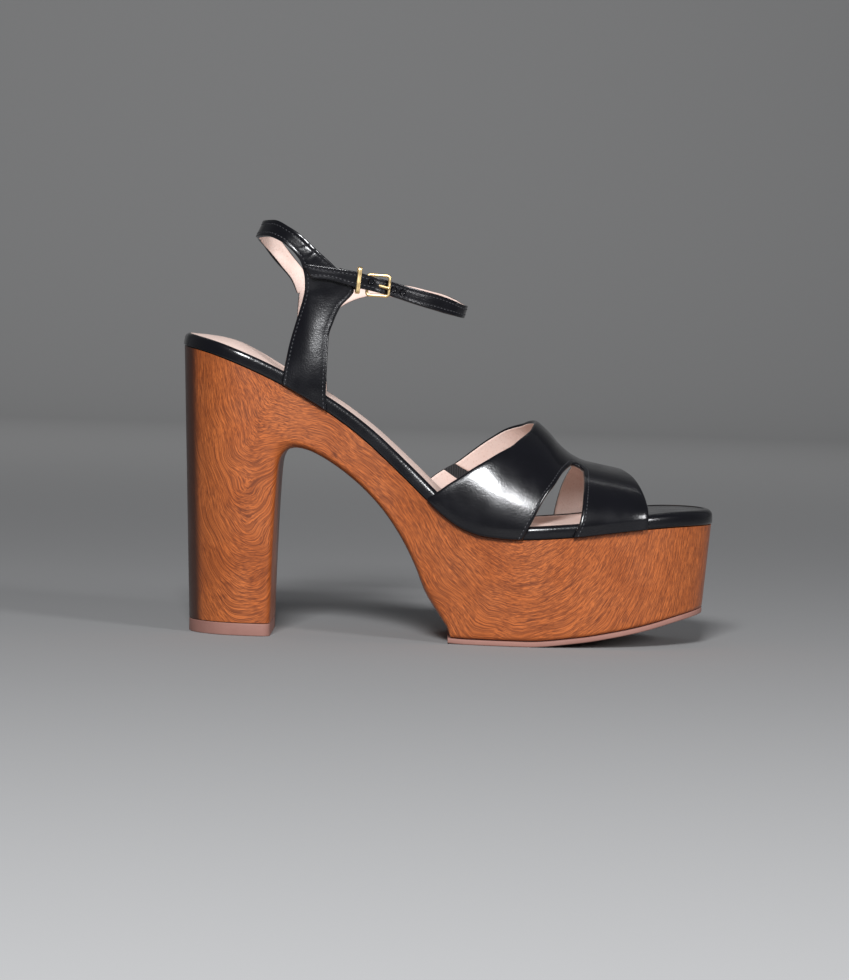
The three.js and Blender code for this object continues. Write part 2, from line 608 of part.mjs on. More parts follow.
// The board wrapped in black leather, with its round padded edge.
function footbedRing(along) {
  const x = alongToX(along);
  const sideOf = (side) => {
    const edge = outlineY(side, x, footbedOverhang);
    const r = Math.min(rimRadius, Math.abs(edge) * mostRounding);
    const low = rimSection.map(({ out, up }) => onTop(x, edge - side * r * (1 - out), bedGap + r * up));
    const high = [...rimSection].reverse().map(({ out, up }) =>
      onTop(x, edge - side * r * (1 - out) * rimRoundness, footbedThickness - r * up * rimRoundness),
    );
    return [...low, ...high];
  };
  return [...sideOf(-1), ...sideOf(1).reverse()];
}
const footbedStations = [
  ...steps(9, (t) => mix(endSliver, heelRound.length, t * t)),
  ...steps(23, (t) => mix(heelRound.length, 1 - toeRound.length, t)).slice(1),
  ...steps(9, (t) => mix(1 - toeRound.length, 1 - endSliver, easeLast(t))).slice(1),
];
const sockSeat = loft(sockStations(gap).map(seatRing));
addPiece("footbed", loft(footbedStations.map(footbedRing)).subtract(sockSeat), "blackLeather");
addPiece("sock_lining", loft(sockStations(0).map(sockRing)), "paleLeather");

// Where the arch over the foot turns from round to squarer, along the sole
const archSquare = { from: 0.6, to: 0.85, power: 0.72 };

// A point of the last over the forefoot: across runs from the outer foot (0) over the ridge to the inner
// foot (1). The sides stand upright beside the footbed and arch over above it.
function lastPoint(along, across) {
  const x = alongToX(along);
  const clear = footbedOverhang + gap + vampWall / 2;
  const outer = Math.abs(outlineY(-1, x, clear));
  const inner = Math.abs(outlineY(1, x, clear));
  const base = topLine(x) + gap;
  const height = platformHeight + instepHeight * ridge(along) - vampWall / 2 - base;
  const up = height * Math.sin(Math.PI * across);
  const arched = Math.max(0, up - uprightHeight) / (height - uprightHeight);
  const squareness = THREE.MathUtils.inverseLerp(archSquare.from, archSquare.to, along);
  const flatness = mix(1, archSquare.power, THREE.MathUtils.clamp(squareness, 0, 1));
  const reach = Math.sign(0.5 - across) * Math.max(0, 1 - arched * arched) ** (flatness / 2);
  const half = mix(outer, inner, (1 - reach) / 2);
  return point(x, -half * reach + ridgeShift * arched, base + up);
}

const vampEdges = Object.fromEntries(
  ["rear", "windowRear", "windowFront", "front"].map((name) => [name, columnCurve(vampTable, "across", name)]),
);
const rearCells = 7;
const windowCells = 3;
const frontCells = 7;
const acrossCells = { outer: 12, top: 10, tab: 2, gore: 1, inner: 9 };

// Places across the vamp, with rows on the ends of the windows and the elastic.
const acrossRows = [
  ...steps(acrossCells.outer, (t) => mix(0, windowTop.outer, t)),
  ...steps(acrossCells.top, (t) => mix(windowTop.outer, windowTop.inner, t)).slice(1),
  ...steps(acrossCells.inner, (t) => mix(windowTop.inner, goreSpan.from, t)).slice(1),
  ...steps(acrossCells.gore, (t) => mix(goreSpan.from, goreSpan.to, t)).slice(1),
  ...steps(acrossCells.tab, (t) => mix(goreSpan.to, 1, t)).slice(1),
];
const goreRow = acrossCells.outer + acrossCells.top + acrossCells.inner;
const topRows = { from: acrossCells.outer, to: acrossCells.outer + acrossCells.top };

// The points of one row across the vamp, from its rear edge to its front edge.
function vampRow(across) {
  const edges = Object.values(vampEdges).map((edge) => edge(across));
  const [rear, windowRear, windowFront, front] = edges;
  const places = [
    ...steps(rearCells, (t) => mix(rear, windowRear, t)),
    ...steps(windowCells, (t) => mix(windowRear, windowFront, t)).slice(1),
    ...steps(frontCells, (t) => mix(windowFront, front, t)).slice(1),
  ];
  return places.map((along) => lastPoint(along, across));
}

const isWindow = (r, c) => {
  const inWindow = c >= rearCells && c < rearCells + windowCells;
  return inWindow && (r < topRows.from || r >= topRows.to);
};
const isInnerFoot = (r, c) => r >= goreRow && c < rearCells;

const vampRows = acrossRows.map(vampRow);
addPiece("vamp", wall(vampRows, vampWall, (r, c) => !isWindow(r, c) && !isInnerFoot(r, c)), "blackLeather");

// The strap's inner foot and the elastic that joins it to the strap, which leaves a small gap at both
// seams.
function innerFootPart(from, to, rowCount, thickness) {
  const rows = steps(rowCount, (t) => vampRow(mix(from, to, t)).slice(0, rearCells + 1));
  return wall(rows, thickness);
}
const seam = 0.0025; // the gap beside the elastic, across the vamp
const gorePart = innerFootPart(goreSpan.from + seam, goreSpan.to - seam, 2, elasticWall);
addPiece("elastic_gore", gorePart, "elastic");
addPiece("vamp_inner_foot", innerFootPart(goreSpan.to, 1, 3, vampWall), "blackLeather");

// How far up the ankle upper it leans in from the sole's edge to the loop, and where only the loop's plan
// holds it
const leanSpan = { from: 0.06, to: 0.62 };
const freeSpan = { from: 0.72, to: 0.84 };

// A point of the ankle upper: it stands on the sole's edge and leans in to the ankle loop.
function anklePoint(along, up, side, outset = 0) {
  const x = alongToX(along);
  const foot = topLine(x) + gap;
  const z = mix(foot, loopTop, up);
  const clear = footbedOverhang + gap + strapWall / 2;
  const sole = Math.abs(outlineY(side, x, clear));
  const loop = loopHalf(along) * ankleWidth;
  const lean = THREE.MathUtils.smoothstep(up, leanSpan.from, leanSpan.to);
  return point(x, side * (mix(sole, loop, lean) + outset * tailOutset), z);
}

// The rows of a band, each row from its left to its right edge. Where a row's side lies between the outer
// side (-1) and the inner side (1), the band turns round the heel or the front of the ankle.
function bandRows(table, perRow, cells) {
  const curve = rowCurve(table);
  return steps((table.length - 1) * perRow, (t) => {
    const row = curve(t * (table.length - 1));
    const middle = (row.leftAlong + row.rightAlong) / 2;
    return steps(cells, (s) => {
      const along = mix(row.leftAlong, row.rightAlong, s);
      const up = mix(row.leftUp, row.rightUp, s);
      const bySide = anklePoint(along, up, Math.sign(row.side), row.outset);
      const byMiddle = loopHalf(middle) * ankleWidth * row.side;
      const free = THREE.MathUtils.smoothstep(up, freeSpan.from, freeSpan.to) * (row.outset > 0 ? 0 : 1);
      const turning = Math.abs(row.side) < 1 ? 1 : free;
      return point(bySide.x, mix(bySide.y, byMiddle, turning), bySide.z);
    });
  });
}

// A straight bar with round section between two points.
function roundBar(from, to, radius) {
  const along = to.clone().sub(from);
  const turn = new THREE.Quaternion().setFromUnitVectors(point(0, 1, 0), along.clone().normalize());
  const middle = from.clone().lerp(to, 0.5);
  const matrix = new THREE.Matrix4().compose(middle, turn, point(1, 1, 1));
  return placed(new THREE.CylinderGeometry(radius, radius, along.length(), 10), matrix);
}

// A place on the outer side of the ankle, turned so that +X runs along the strap, +Y up across it and +Z
// out of it.
function strapPlace(forward, origin) {
  const ahead = forward.clone().normalize();
  const outward = point(0, -1, 0).addScaledVector(ahead, ahead.y).normalize();
  return new THREE.Matrix4().makeBasis(ahead, outward.clone().cross(ahead), outward).setPosition(origin);
}

// A rounded rectangle ring, extruded: outer size, wall and depth.
function rectangleRing(width, height, ringWall, depth, matrix) {
  const outline = (path, w, h, r) => {
    path.moveTo(-w / 2 + r, -h / 2);
    path.lineTo(w / 2 - r, -h / 2).absarc(w / 2 - r, -h / 2 + r, r, -Math.PI / 2, 0);
    path.lineTo(w / 2, h / 2 - r).absarc(w / 2 - r, h / 2 - r, r, 0, Math.PI / 2);
    path.lineTo(-w / 2 + r, h / 2).absarc(-w / 2 + r, h / 2 - r, r, Math.PI / 2, Math.PI);
    path.lineTo(-w / 2, -h / 2 + r).absarc(-w / 2 + r, -h / 2 + r, r, Math.PI, 1.5 * Math.PI);
    return path;
  };
  const shape = outline(new THREE.Shape(), width, height, ringWall * 1.2);
  shape.holes.push(outline(new THREE.Path(), width - 2 * ringWall, height - 2 * ringWall, ringWall * 0.4));
  const geometry = new THREE.ExtrudeGeometry(shape, { depth, bevelEnabled: false, curveSegments: 3 });
  geometry.translate(0, 0, -depth / 2);
  return placed(geometry, matrix);
}

// The middle of the ankle strap on the outer side: its share of the way up, at a place along the sole.
const outerStrap = strapTable.filter((row) => row.side < 0).reverse();
const strapLeft = columnCurve(outerStrap, "rightAlong", "leftUp");
const strapRight = columnCurve(outerStrap, "rightAlong", "rightUp");
const strapOutset = columnCurve(outerStrap, "rightAlong", "outset");
const strapLine = (along) => (strapLeft(along) + strapRight(along)) / 2;
const strapMiddle = (along) => anklePoint(along, strapLine(along), -1, strapOutset(along));

// The buckle: its inner bar lies between the tab and the strap, its outer bar over the strap.
const innerBar = anklePoint(buckleAlong, strapLine(buckleAlong), -1);
const outerBar = strapMiddle(buckleAlong + (buckleLength - buckleWire) / soleLength);
outerBar.y -= strapWall / 2 + 3 * gap + buckleWire / 2;
const bucklePlace = strapPlace(outerBar.clone().sub(innerBar), innerBar.clone().lerp(outerBar, 0.5));
addPiece(
  "buckle_frame",
  rectangleRing(buckleLength, buckleHeight, buckleWire, buckleWire, bucklePlace),
  "gold",
);

// The prong: from the inner bar through a hole in the strap to the outer bar's face.
const prongRoot = innerBar.clone().lerp(outerBar, (buckleWire / 2 + gap) / (buckleLength - buckleWire));
const prongTip = outerBar.clone();
prongTip.y -= buckleWire / 2 + gap + prongRadius;
const prong = roundBar(prongRoot, prongTip, prongRadius);
const prongHole = roundBar(prongRoot, prongTip, prongRadius + gap);
addPiece("buckle_prong", prong, "gold");

const quarterWall = wall(bandRows(quarterTable, 2, 3), strapWall);
const strapBand = wall(bandRows(strapTable, 3, 3), strapWall);
addPiece("ankle_upper", quarterWall.add(strapBand).subtract(prongHole), "blackLeather");
addPiece("buckle_tab", wall(bandRows(tabTable, 2, 2), strapWall), "blackLeather");

// The keeper loop round the strap's tail and the tab.
const keeperInner = loopHalf(keeperAlong) * ankleWidth - strapWall / 2 - gap - keeperWall;
const keeperOuter = loopHalf(keeperAlong) * ankleWidth + tailOutset + strapWall / 2 + gap + keeperWall;
const keeperCentre = strapMiddle(keeperAlong).setY(-(keeperInner + keeperOuter) / 2);
const nearBy = 0.01; // how far to each side, along the sole, a direction is read
const keeperForward = strapMiddle(keeperAlong + nearBy).sub(strapMiddle(keeperAlong - nearBy));
const keeperPlace = strapPlace(keeperForward, keeperCentre).multiply(
  new THREE.Matrix4().makeRotationY(Math.PI / 2),
);
addPiece(
  "keeper_loop",
  rectangleRing(keeperOuter - keeperInner, keeperHeight, keeperWall, keeperWidth, keeperPlace),
  "gold",
);

export default sandal;
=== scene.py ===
# The looks of a high platform sandal for the right foot. Lengths are in millimetres unless a comment says
# otherwise. +X runs to the toe, +Y to the inner side of the foot and +Z up. The origin is on the floor, under
# the middle of the shoe.
import math

import bpy
from mathutils import Matrix, Vector


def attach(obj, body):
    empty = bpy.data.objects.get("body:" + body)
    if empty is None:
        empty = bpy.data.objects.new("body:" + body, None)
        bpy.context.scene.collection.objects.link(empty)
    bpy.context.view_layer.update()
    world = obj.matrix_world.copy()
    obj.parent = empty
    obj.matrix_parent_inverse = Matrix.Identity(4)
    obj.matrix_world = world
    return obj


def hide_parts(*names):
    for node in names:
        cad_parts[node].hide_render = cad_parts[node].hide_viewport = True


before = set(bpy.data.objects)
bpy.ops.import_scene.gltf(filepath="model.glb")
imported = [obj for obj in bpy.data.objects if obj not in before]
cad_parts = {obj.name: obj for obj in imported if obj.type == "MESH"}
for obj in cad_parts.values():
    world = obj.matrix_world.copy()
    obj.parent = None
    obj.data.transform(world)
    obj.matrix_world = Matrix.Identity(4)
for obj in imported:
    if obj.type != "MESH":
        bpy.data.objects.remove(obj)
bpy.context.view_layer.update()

MM = 0.001

# Sizes of the sole, as in the solids
SOLE_LENGTH = 229
BALL_WIDTH = 83
HEEL_HEIGHT = 122
PLATFORM_HEIGHT = 44.7
TOE_RISE = 7.2
TOE_SPRING = 14.6
HEEL_RAKE = 5.2
TOE_RAKE = 3
SIDE_DRAFT = 0.034
LEAST_DRAFT_SHARE = 0.2
MOST_ROUNDING = 0.6
LIFT_THICKNESS = 5.3
OUTSOLE_THICKNESS = 2.2
FOOTBED_THICKNESS = 5.8
FOOTBED_OVERHANG = 0.5
RIM_WIDTH = 3
SOCK_DEPTH = 1.3
SOCK_CROWN = 3

# How far the rubber's edges are rounded, which is never more than a share of the half width
LIFT_EDGE = 0.5
OUTSOLE_EDGE = 0.6
EDGE_LIMIT = 0.5

# The footbed's edge: its foot as shares out and up, the share of its side that stands upright, how it rolls
# over to the top, how it puffs up at the toe, where the sock leaves it bare, and its steps down to the seat
RIM_FOOT = [(0.9, 0), (0.98, 0.05), (1, 0.15)]
UPRIGHT_SHARE = 0.5
ROLL_POWER = 0.85
RIM_ROUND = 2
TOE_PUFF = {"from": 0.8, "to": 0.93, "round": 1.6, "height": 0.9}
BARE_TOE = {"before": 0.01, "after": 0.012}
SEAT_STEP = {"toe": 0.3, "edge": 0.5, "floor": 2.5}
SPINE_INSET = 9

# The sock's section: powers of its dome and of its rounded edge, the edge's height and how low it starts
SOCK_SECTION = {"dome": 2.4, "edge": 6, "edge_height": 0.7, "sunk": 0.4}

# Sizes of the upper
INSTEP_HEIGHT = 51
VAMP_WALL = 2
UPRIGHT_HEIGHT = 4.6
ANKLE_RISE = 54
ANKLE_WIDTH = 54
STRAP_WALL = 1.9
ELASTIC_WALL = 1.2
GAP = 0.3
BED_GAP = 0.4

# Sizes of the fittings
BUCKLE_LENGTH = 10.6
BUCKLE_HEIGHT = 9.8
BUCKLE_WIRE = 1.3
KEEPER_HEIGHT = 11.4
KEEPER_WIDTH = 1.8
KEEPER_WALL = 0.8
PRONG_RADIUS = 0.6
BUCKLE_ALONG = 0.3425
KEEPER_ALONG = 0.3265

# The fittings' rounded corners, and the squareness of their sections, where 2 is round
BUCKLE_FORM = {"corner": 1.0, "square": 3.0}
KEEPER_FORM = {"corner": 0.8, "square": 3.5}
PRONG_FORM = {"taper": 0.85, "wide": 1.15, "high": 0.9}

# How much of the strap's slope the buckle's ring and the keeper take up: they hang nearly level
BUCKLE_LEVEL = 0.2
KEEPER_LEVEL = 0.4

WOOD_LENGTH = SOLE_LENGTH - 2 * FOOTBED_OVERHANG
LOOP_TOP = HEEL_HEIGHT + ANKLE_RISE
TAIL_OUTSET = STRAP_WALL + GAP

# The platform's top along the foot: its share of the drop from heel to ball, and of the rise to the toe
TOP_TABLE = [
    ("along", "drop", "rise"),
    (0, 1, 0),
    (0.06, 0.955, 0),
    (0.106, 0.907, 0),
    (0.183, 0.808, 0),
    (0.277, 0.655, 0),
    (0.339, 0.526, 0),
    (0.417, 0.323, 0),
    (0.464, 0.194, 0),
    (0.492, 0.12, 0),
    (0.531, 0.046, 0),
    (0.57, 0.011, 0),
    (0.622, 0, 0),
    (0.73, 0, 0.22),
    (0.8, 0, 0.51),
    (0.866, 0, 0.77),
    (0.937, 0, 0.93),
    (1, 0, 1),
]

# The outsole's lower face along the foot, as a share of the toe spring
SPRING_TABLE = [
    ("along", "spring"),
    (0.5, 0.03),
    (0.54, 0),
    (0.65, 0),
    (0.75, 0.15),
    (0.81, 0.31),
    (0.87, 0.51),
    (0.93, 0.76),
    (1, 1.02),
]

# The plan outline: half widths to the outer and the inner side, as shares of the ball width
PLAN_TABLE = [
    ("along", "outer", "inner"),
    (0, 0.355, 0.355),
    (0.13, 0.36, 0.36),
    (0.25, 0.358, 0.345),
    (0.38, 0.375, 0.335),
    (0.5, 0.44, 0.36),
    (0.6, 0.49, 0.425),
    (0.67, 0.5, 0.475),
    (0.74, 0.49, 0.5),
    (0.82, 0.455, 0.5),
    (0.9, 0.4, 0.48),
    (1, 0.34, 0.46),
]
HEEL_SHARE = PLAN_TABLE[1][1]
HEEL_ROUND = {"length": 0.125, "power": 2.2}
TOE_ROUND = {"length": 0.17, "power": 2.2}
END_SLIVER = 0.00001

# The bent bar of heel, shank and platform: each row joins the inner edge to a place on the outer edge, which
# runs from 0 to 1 up the back and from 1 to 2 along the top
BAR_TABLE = [
    ("along", "up", "outer", "round"),
    (0.1803, 0.0459, 0, 4),
    (0.1812, 0.2, 0.2, 4),
    (0.1835, 0.4, 0.42, 4),
    (0.187, 0.565, 0.66, 4),
    (0.1895, 0.605, 0.82, 4.5),
    (0.196, 0.634, 0.94, 5),
    (0.205, 0.6495, 1, 5),
    (0.213, 0.6552, 1.004, 5),
    (0.221, 0.657, 1.015, 5),
    (0.23, 0.655, 1.04, 5),
    (0.245, 0.6475, 1.09, 5),
    (0.265, 0.6305, 1.14, 5),
    (0.291, 0.602, 1.2, 5),
    (0.338, 0.536, 1.27, 5),
    (0.384, 0.448, 1.335, 5),
    (0.422, 0.345, 1.39, 5),
    (0.446, 0.258, 1.43, 5),
    (0.465, 0.174, 1.465, 4.5),
    (0.49, 0.102, 1.5, 3.5),
    (0.507, 0.058, 1.53, 2.5),
]
PLATFORM_BACK = {"along": 0.514, "outer": 1.548, "round": 1.6}

# The ridge of the forefoot and instep, as a share of the instep height over the platform
RIDGE_TABLE = [
    ("along", "ridge"),
    (0.44, 1.7),
    (0.5, 1.56),
    (0.544, 1.42),
    (0.587, 1.25),
    (0.631, 1.085),
    (0.654, 1),
    (0.669, 0.948),
    (0.686, 0.88),
    (0.71, 0.765),
    (0.7345, 0.684),
    (0.7585, 0.64),
    (0.7865, 0.614),
    (0.83, 0.576),
    (0.88, 0.52),
]
RIDGE_SHIFT = 3
ARCH_SQUARE = {"from": 0.6, "to": 0.85, "power": 0.95}

# Where the vamp is cut, from its outer foot over the top to its inner foot
VAMP_TABLE = [
    ("across", "rear", "window_rear", "window_front", "front"),
    (0, 0.461, 0.639, 0.73, 0.868),
    (0.06, 0.497, 0.66, 0.7415, 0.8686),
    (0.12, 0.54, 0.677, 0.746, 0.8682),
    (0.18, 0.5825, 0.6948, 0.748, 0.865),
    (0.25, 0.6215, 0.7087, 0.7502, 0.8594),
    (0.37, 0.6535, 0.7297, 0.7511, 0.8463),
    (0.5, 0.662, 0.7358, 0.7489, 0.8297),
    (0.63, 0.645, 0.7271, 0.7419, 0.8319),
    (0.75, 0.5987, 0.7009, 0.7306, 0.845),
    (0.82, 0.562, 0.679, 0.7227, 0.8515),
    (0.88, 0.5249, 0.6585, 0.7166, 0.855),
    (0.94, 0.4825, 0.6376, 0.7109, 0.8563),
    (1, 0.4498, 0.6179, 0.7066, 0.8559),
]
WINDOW_TOP = {"outer": 0.375, "inner": 0.64}
GORE_SPAN = {"from": 0.896, "to": 0.922}
WINDOW_ROUND = {"across": 0.035, "least": 0.3}

# The elastic reaches under the leather at both ends, lies lower than it and is thinner
GORE = {"overlap": 0.004, "sunk": 0.2, "wall_share": 0.5}

# The ankle loop seen from above: half widths as shares of the ankle width
LOOP_TABLE = [
    ("along", "half"),
    (0.138, 0.02),
    (0.1425, 0.17),
    (0.155, 0.3),
    (0.178, 0.41),
    (0.205, 0.47),
    (0.24, 0.5),
    (0.3, 0.505),
    (0.36, 0.485),
    (0.41, 0.43),
    (0.455, 0.345),
    (0.485, 0.26),
    (0.505, 0.19),
    (0.517, 0.135),
    (0.523, 0.1),
]
LEAN_SPAN = {"from": 0.06, "to": 0.62}
FREE_SPAN = {"from": 0.72, "to": 0.84}
ANKLE_MIDDLE = 0.3

# The outer quarter, which runs on as the back strap to the inner quarter: its two edges, row by row
QUARTER_TABLE = [
    ("side", "left_along", "left_up", "right_along", "right_up", "outset"),
    (-1, 0.191, 0, 0.276, 0, 0),
    (-1, 0.196, 0.115, 0.273, 0.11, 0),
    (-1, 0.2045, 0.285, 0.2735, 0.255, 0),
    (-1, 0.212, 0.392, 0.2745, 0.38, 0),
    (-1, 0.219, 0.478, 0.283, 0.477, 0),
    (-1, 0.225, 0.553, 0.2945, 0.562, 0),
    (-1, 0.228, 0.615, 0.319, 0.664, 0),
    (-1, 0.2275, 0.665, 0.3035, 0.712, 0),
    (-1, 0.2245, 0.712, 0.282, 0.762, 0),
    (-1, 0.2195, 0.757, 0.26, 0.809, 0),
    (-1, 0.2115, 0.79, 0.2405, 0.854, 0),
    (-1, 0.198, 0.828, 0.222, 0.902, 0),
    (-1, 0.1785, 0.867, 0.198, 0.95, 0),
    (-1, 0.156, 0.89, 0.17, 0.992, 0),
    (-1, 0.1345, 0.882, 0.148, 0.99, 0),
    (1, 0.1345, 0.872, 0.148, 0.978, 0),
    (1, 0.146, 0.823, 0.165, 0.916, 0),
    (1, 0.171, 0.729, 0.193, 0.807, 0),
    (1, 0.194, 0.648, 0.2165, 0.72, 0),
    (1, 0.2045, 0.575, 0.236, 0.615, 0),
]

# The inner quarter, which runs on as the ankle strap to its tip on the outer side
STRAP_TABLE = [
    ("side", "left_along", "left_up", "right_along", "right_up", "outset"),
    (1, 0.191, 0, 0.27, 0, 0),
    (1, 0.1965, 0.115, 0.266, 0.11, 0),
    (1, 0.2018, 0.275, 0.262, 0.24, 0),
    (1, 0.2048, 0.41, 0.262, 0.365, 0),
    (1, 0.2062, 0.51, 0.2686, 0.465, 0),
    (1, 0.2085, 0.6, 0.2825, 0.544, 0),
    (1, 0.228, 0.675, 0.3079, 0.611, 0),
    (1, 0.2751, 0.737, 0.3358, 0.656, 0),
    (1, 0.3166, 0.76, 0.3646, 0.689, 0),
    (1, 0.3843, 0.754, 0.3891, 0.693, 0),
    (1, 0.4301, 0.761, 0.4323, 0.703, 0),
    (1, 0.4782, 0.76, 0.476, 0.703, 0),
    (1, 0.508, 0.749, 0.503, 0.698, 0),
    (0.9, 0.521, 0.739, 0.5145, 0.694, 0),
    (0, 0.526, 0.736, 0.5195, 0.691, 0),
    (-0.9, 0.521, 0.735, 0.5145, 0.69, 0),
    (-1, 0.508, 0.74, 0.503, 0.69, 0),
    (-1, 0.4725, 0.748, 0.4734, 0.689, 0),
    (-1, 0.4297, 0.748, 0.4306, 0.687, 0),
    (-1, 0.3873, 0.751, 0.386, 0.688, 0),
    (-1, 0.352, 0.752, 0.352, 0.685, 0.9),
    (-1, 0.3197, 0.758, 0.3205, 0.681, 1),
    (-1, 0.275, 0.753, 0.275, 0.686, 1),
    (-1, 0.2225, 0.748, 0.241, 0.674, 1),
]

# The buckle's tab, from the quarter's front corner to the buckle's inner bar
TAB_TABLE = [
    ("side", "left_along", "left_up", "right_along", "right_up", "outset"),
    (-1, 0.2895, 0.762, 0.3215, 0.662, 0),
    (-1, 0.311, 0.752, 0.3265, 0.676, 0),
    (-1, 0.3375, 0.744, 0.3375, 0.688, 0),
]

# The sock's outline beside the footbed's rim, and the rise of its cushion
SOCK_TABLE = [
    ("along", "rim", "crown"),
    (0, 0.5, 0.1),
    (0.04, 0.5, 0.65),
    (0.09, 0.5, 1),
    (0.13, 0.5, 0.75),
    (0.17, 0.5, 0.35),
    (0.21, 0.5, 0.15),
    (0.3, 0.5, 0.15),
    (0.42, 0.55, 0.28),
    (0.55, 0.9, 0.2),
    (0.87, 1, 0.12),
]
SOCK_FRONT = {"along": 0.87, "round": 0.09}

# Creases on the vamp's outer side: a middle, a direction in degrees from +X, half length, half width and
# depth. Each bends a little and has a low ridge beside it, and they are fainter on the inner side
VAMP_CREASES = [
    {"x": 73, "z": 62.5, "turn": -44, "length": 6, "width": 0.5, "depth": 0.13},
    {"x": 75.2, "z": 62.5, "turn": -47, "length": 5.5, "width": 0.45, "depth": 0.12},
    {"x": 77.6, "z": 61, "turn": -50, "length": 5, "width": 0.45, "depth": 0.1},
    {"x": 79.6, "z": 59.6, "turn": -54, "length": 3.6, "width": 0.4, "depth": 0.08},
]
CREASE_FORM = {"bend": 0.01, "ridge": 0.5, "ridge_at": 1.8}
INNER_CREASES = 0.4

# How deep the vamp's folded edges turn in, and over how many cells of its grid
FOLDED_EDGE = {"depth": 0.3, "spread": 0.9}

# Beads and grooves along the edges of the ankle upper, with the beads' heights on the left and the right edge
EDGE_BEAD = {"middle": 0.7, "spread": 0.6, "groove": 1.6, "narrow": 0.5, "depth": 0.06}
BEAD_HEIGHTS = {"quarter": (0.05, 0.2), "strap": (0, 0)}

# Wrinkles of the back strap, where it bends down into the quarter
STRAP_CREASES = [
    {"x": -60, "z": 161, "turn": 35, "length": 3.2, "width": 0.7, "depth": 0.09},
    {"x": -57.5, "z": 164, "turn": 50, "length": 3, "width": 0.5, "depth": 0.08},
    {"x": -62.5, "z": 164.5, "turn": 20, "length": 3, "width": 0.6, "depth": 0.08},
    {"x": -54.5, "z": 160.5, "turn": 60, "length": 2.6, "width": 0.5, "depth": 0.07},
    {"x": -65.5, "z": 168, "turn": 15, "length": 3.4, "width": 0.7, "depth": 0.07},
    {"x": -59, "z": 157.5, "turn": 70, "length": 2.6, "width": 0.6, "depth": 0.07},
]

# How the outer quarter curves back round the heel, between its foot and the tail of the strap
QUARTER_TURN = {"rise": 2.6, "curl": 1.6, "low": (98, 116), "high": (130, 156)}

# Stitches, and how far the vamp's seams lie in from the windows' edges and run past their ends
STITCH = {"pitch": 1.75, "length": 1.3, "radius": 0.3, "proud": -0.02, "dip": 0.12}
VAMP_SEAM = {"rear": 1.7, "front": 1.9, "past": 3}

# Punched holes of the strap: where along the sole they lie and how far across the strap
HOLES = [(0.3493, 0.4), (0.3904, 0.5), (0.4066, 0.5)]
HOLE = {"radius": 1.45, "lip": 0.8, "lip_width": 0.12, "lip_height": 0.5, "lift": 0.03}
HOLE_RINGS = {"count": 9, "width": 0.065}

# The way of the wood's grain on its sides: a place and the angle from +X in degrees. An angle over 90 is read
# as the same line half a turn back, and left of the flip so is a right angle, so that neighbours agree
GRAIN_TABLE = [
    ("x", "z", "turn"),
    (-108, 109, 90),
    (-106, 62, 90),
    (-105, 15, 100),
    (-97, 102, 94),
    (-95, 82, 98),
    (-97, 56, 105),
    (-99, 36, 118),
    (-98, 14, 135),
    (-97, 6, 145),
    (-85, 105, 130),
    (-89, 87, 110),
    (-85, 72, 150),
    (-78, 76, 30),
    (-68, 83, 15),
    (-71, 95, 160),
    (-59, 82, 168),
    (-46, 75, 147),
    (-41, 84, 143),
    (-29, 67, 138),
    (-18, 57, 132),
    (-15, 41, 120),
    (-90, 49, 120),
    (-87, 39, 150),
    (-82, 33, 5),
    (-77, 47, 55),
    (-78, 60, 80),
    (-84, 57, 0),
    (-89, 23, 150),
    (-82, 15, 175),
    (-75, 23, 40),
    (-75, 9, 20),
    (-9, 49, 125),
    (-5, 30, 120),
    (4, 10, 118),
    (0, 47, 133),
    (8, 34, 142),
    (11, 16, 138),
    (20, 37, 158),
    (24, 24, 170),
    (25, 8, 160),
    (33, 32, 15),
    (35, 16, 8),
    (45, 38, 30),
    (45, 22, 30),
    (43, 6, 15),
    (57, 38, 50),
    (58, 22, 48),
    (59, 9, 35),
    (70, 38, 65),
    (72, 20, 60),
    (84, 39, 75),
    (86, 23, 70),
    (100, 42, 82),
    (103, 24, 84),
    (110, 47, 88),
]
GRAIN_REACH = 6
GRAIN_ROUNDS = 300
GRAIN_FLIP = -99.5
GRAIN_ATTRIBUTE = "grain_place"

# The layers of fibres: length and width in metres, and the strength of their dark lines
FIBRE_LAYERS = [
    (0.0022, 0.00024, 0.5),
    (0.0035, 0.00032, 0.5),
    (0.006, 0.00044, 0.34),
    (0.03, 0.0013, 0.14),
]
FIBRE_SEED = 7.3

# Longer dark streaks among the fibres, where a fibre turns dark, and how the fibres sway
STREAKS = {"length": 0.016, "width": 0.0008, "from": 0.6, "to": 0.68, "share": 0.5, "seed": 41.0}
FIBRE_EDGE = {"from": 0.46, "to": 0.6}
SWAY = {"scale": 60.0, "reach": 0.0006}

# Painted shade that darkens the heel's back edge, where it turns away from the lights, in metres from that
# edge, and the slope of the edge
BACK_EDGE_SHADE = {"x": 0.1088, "slope": 0.0426, "from": 0.0038, "to": 0.0078, "share": 0.92}
KNOT = {"x": -0.0476, "z": 0.0779, "radius": 0.0022, "share": 0.55}

# Steps of the fine meshes
BAR_STEPS = 7
PLATFORM_STEPS = 70
SIDE_STEPS = 36
EDGE_STEPS = 8
LIFT_STEPS = 60
OUTSOLE_STEPS = 110
BED_STEPS = 120
END_STEPS = 30
SOCK_STEPS = 14
GORE_STEPS = 4
REAR_CELLS, WINDOW_CELLS, FRONT_CELLS = 32, 8, 28
ACROSS_CELLS = {"outer": 60, "top": 30, "inner": 36, "gore": 3, "foot": 10}
BAND_STEPS = {"quarter": (10, 24), "strap": (9, 16), "tab": (8, 8)}
RING_STEPS = {"round": 96, "section": 16}

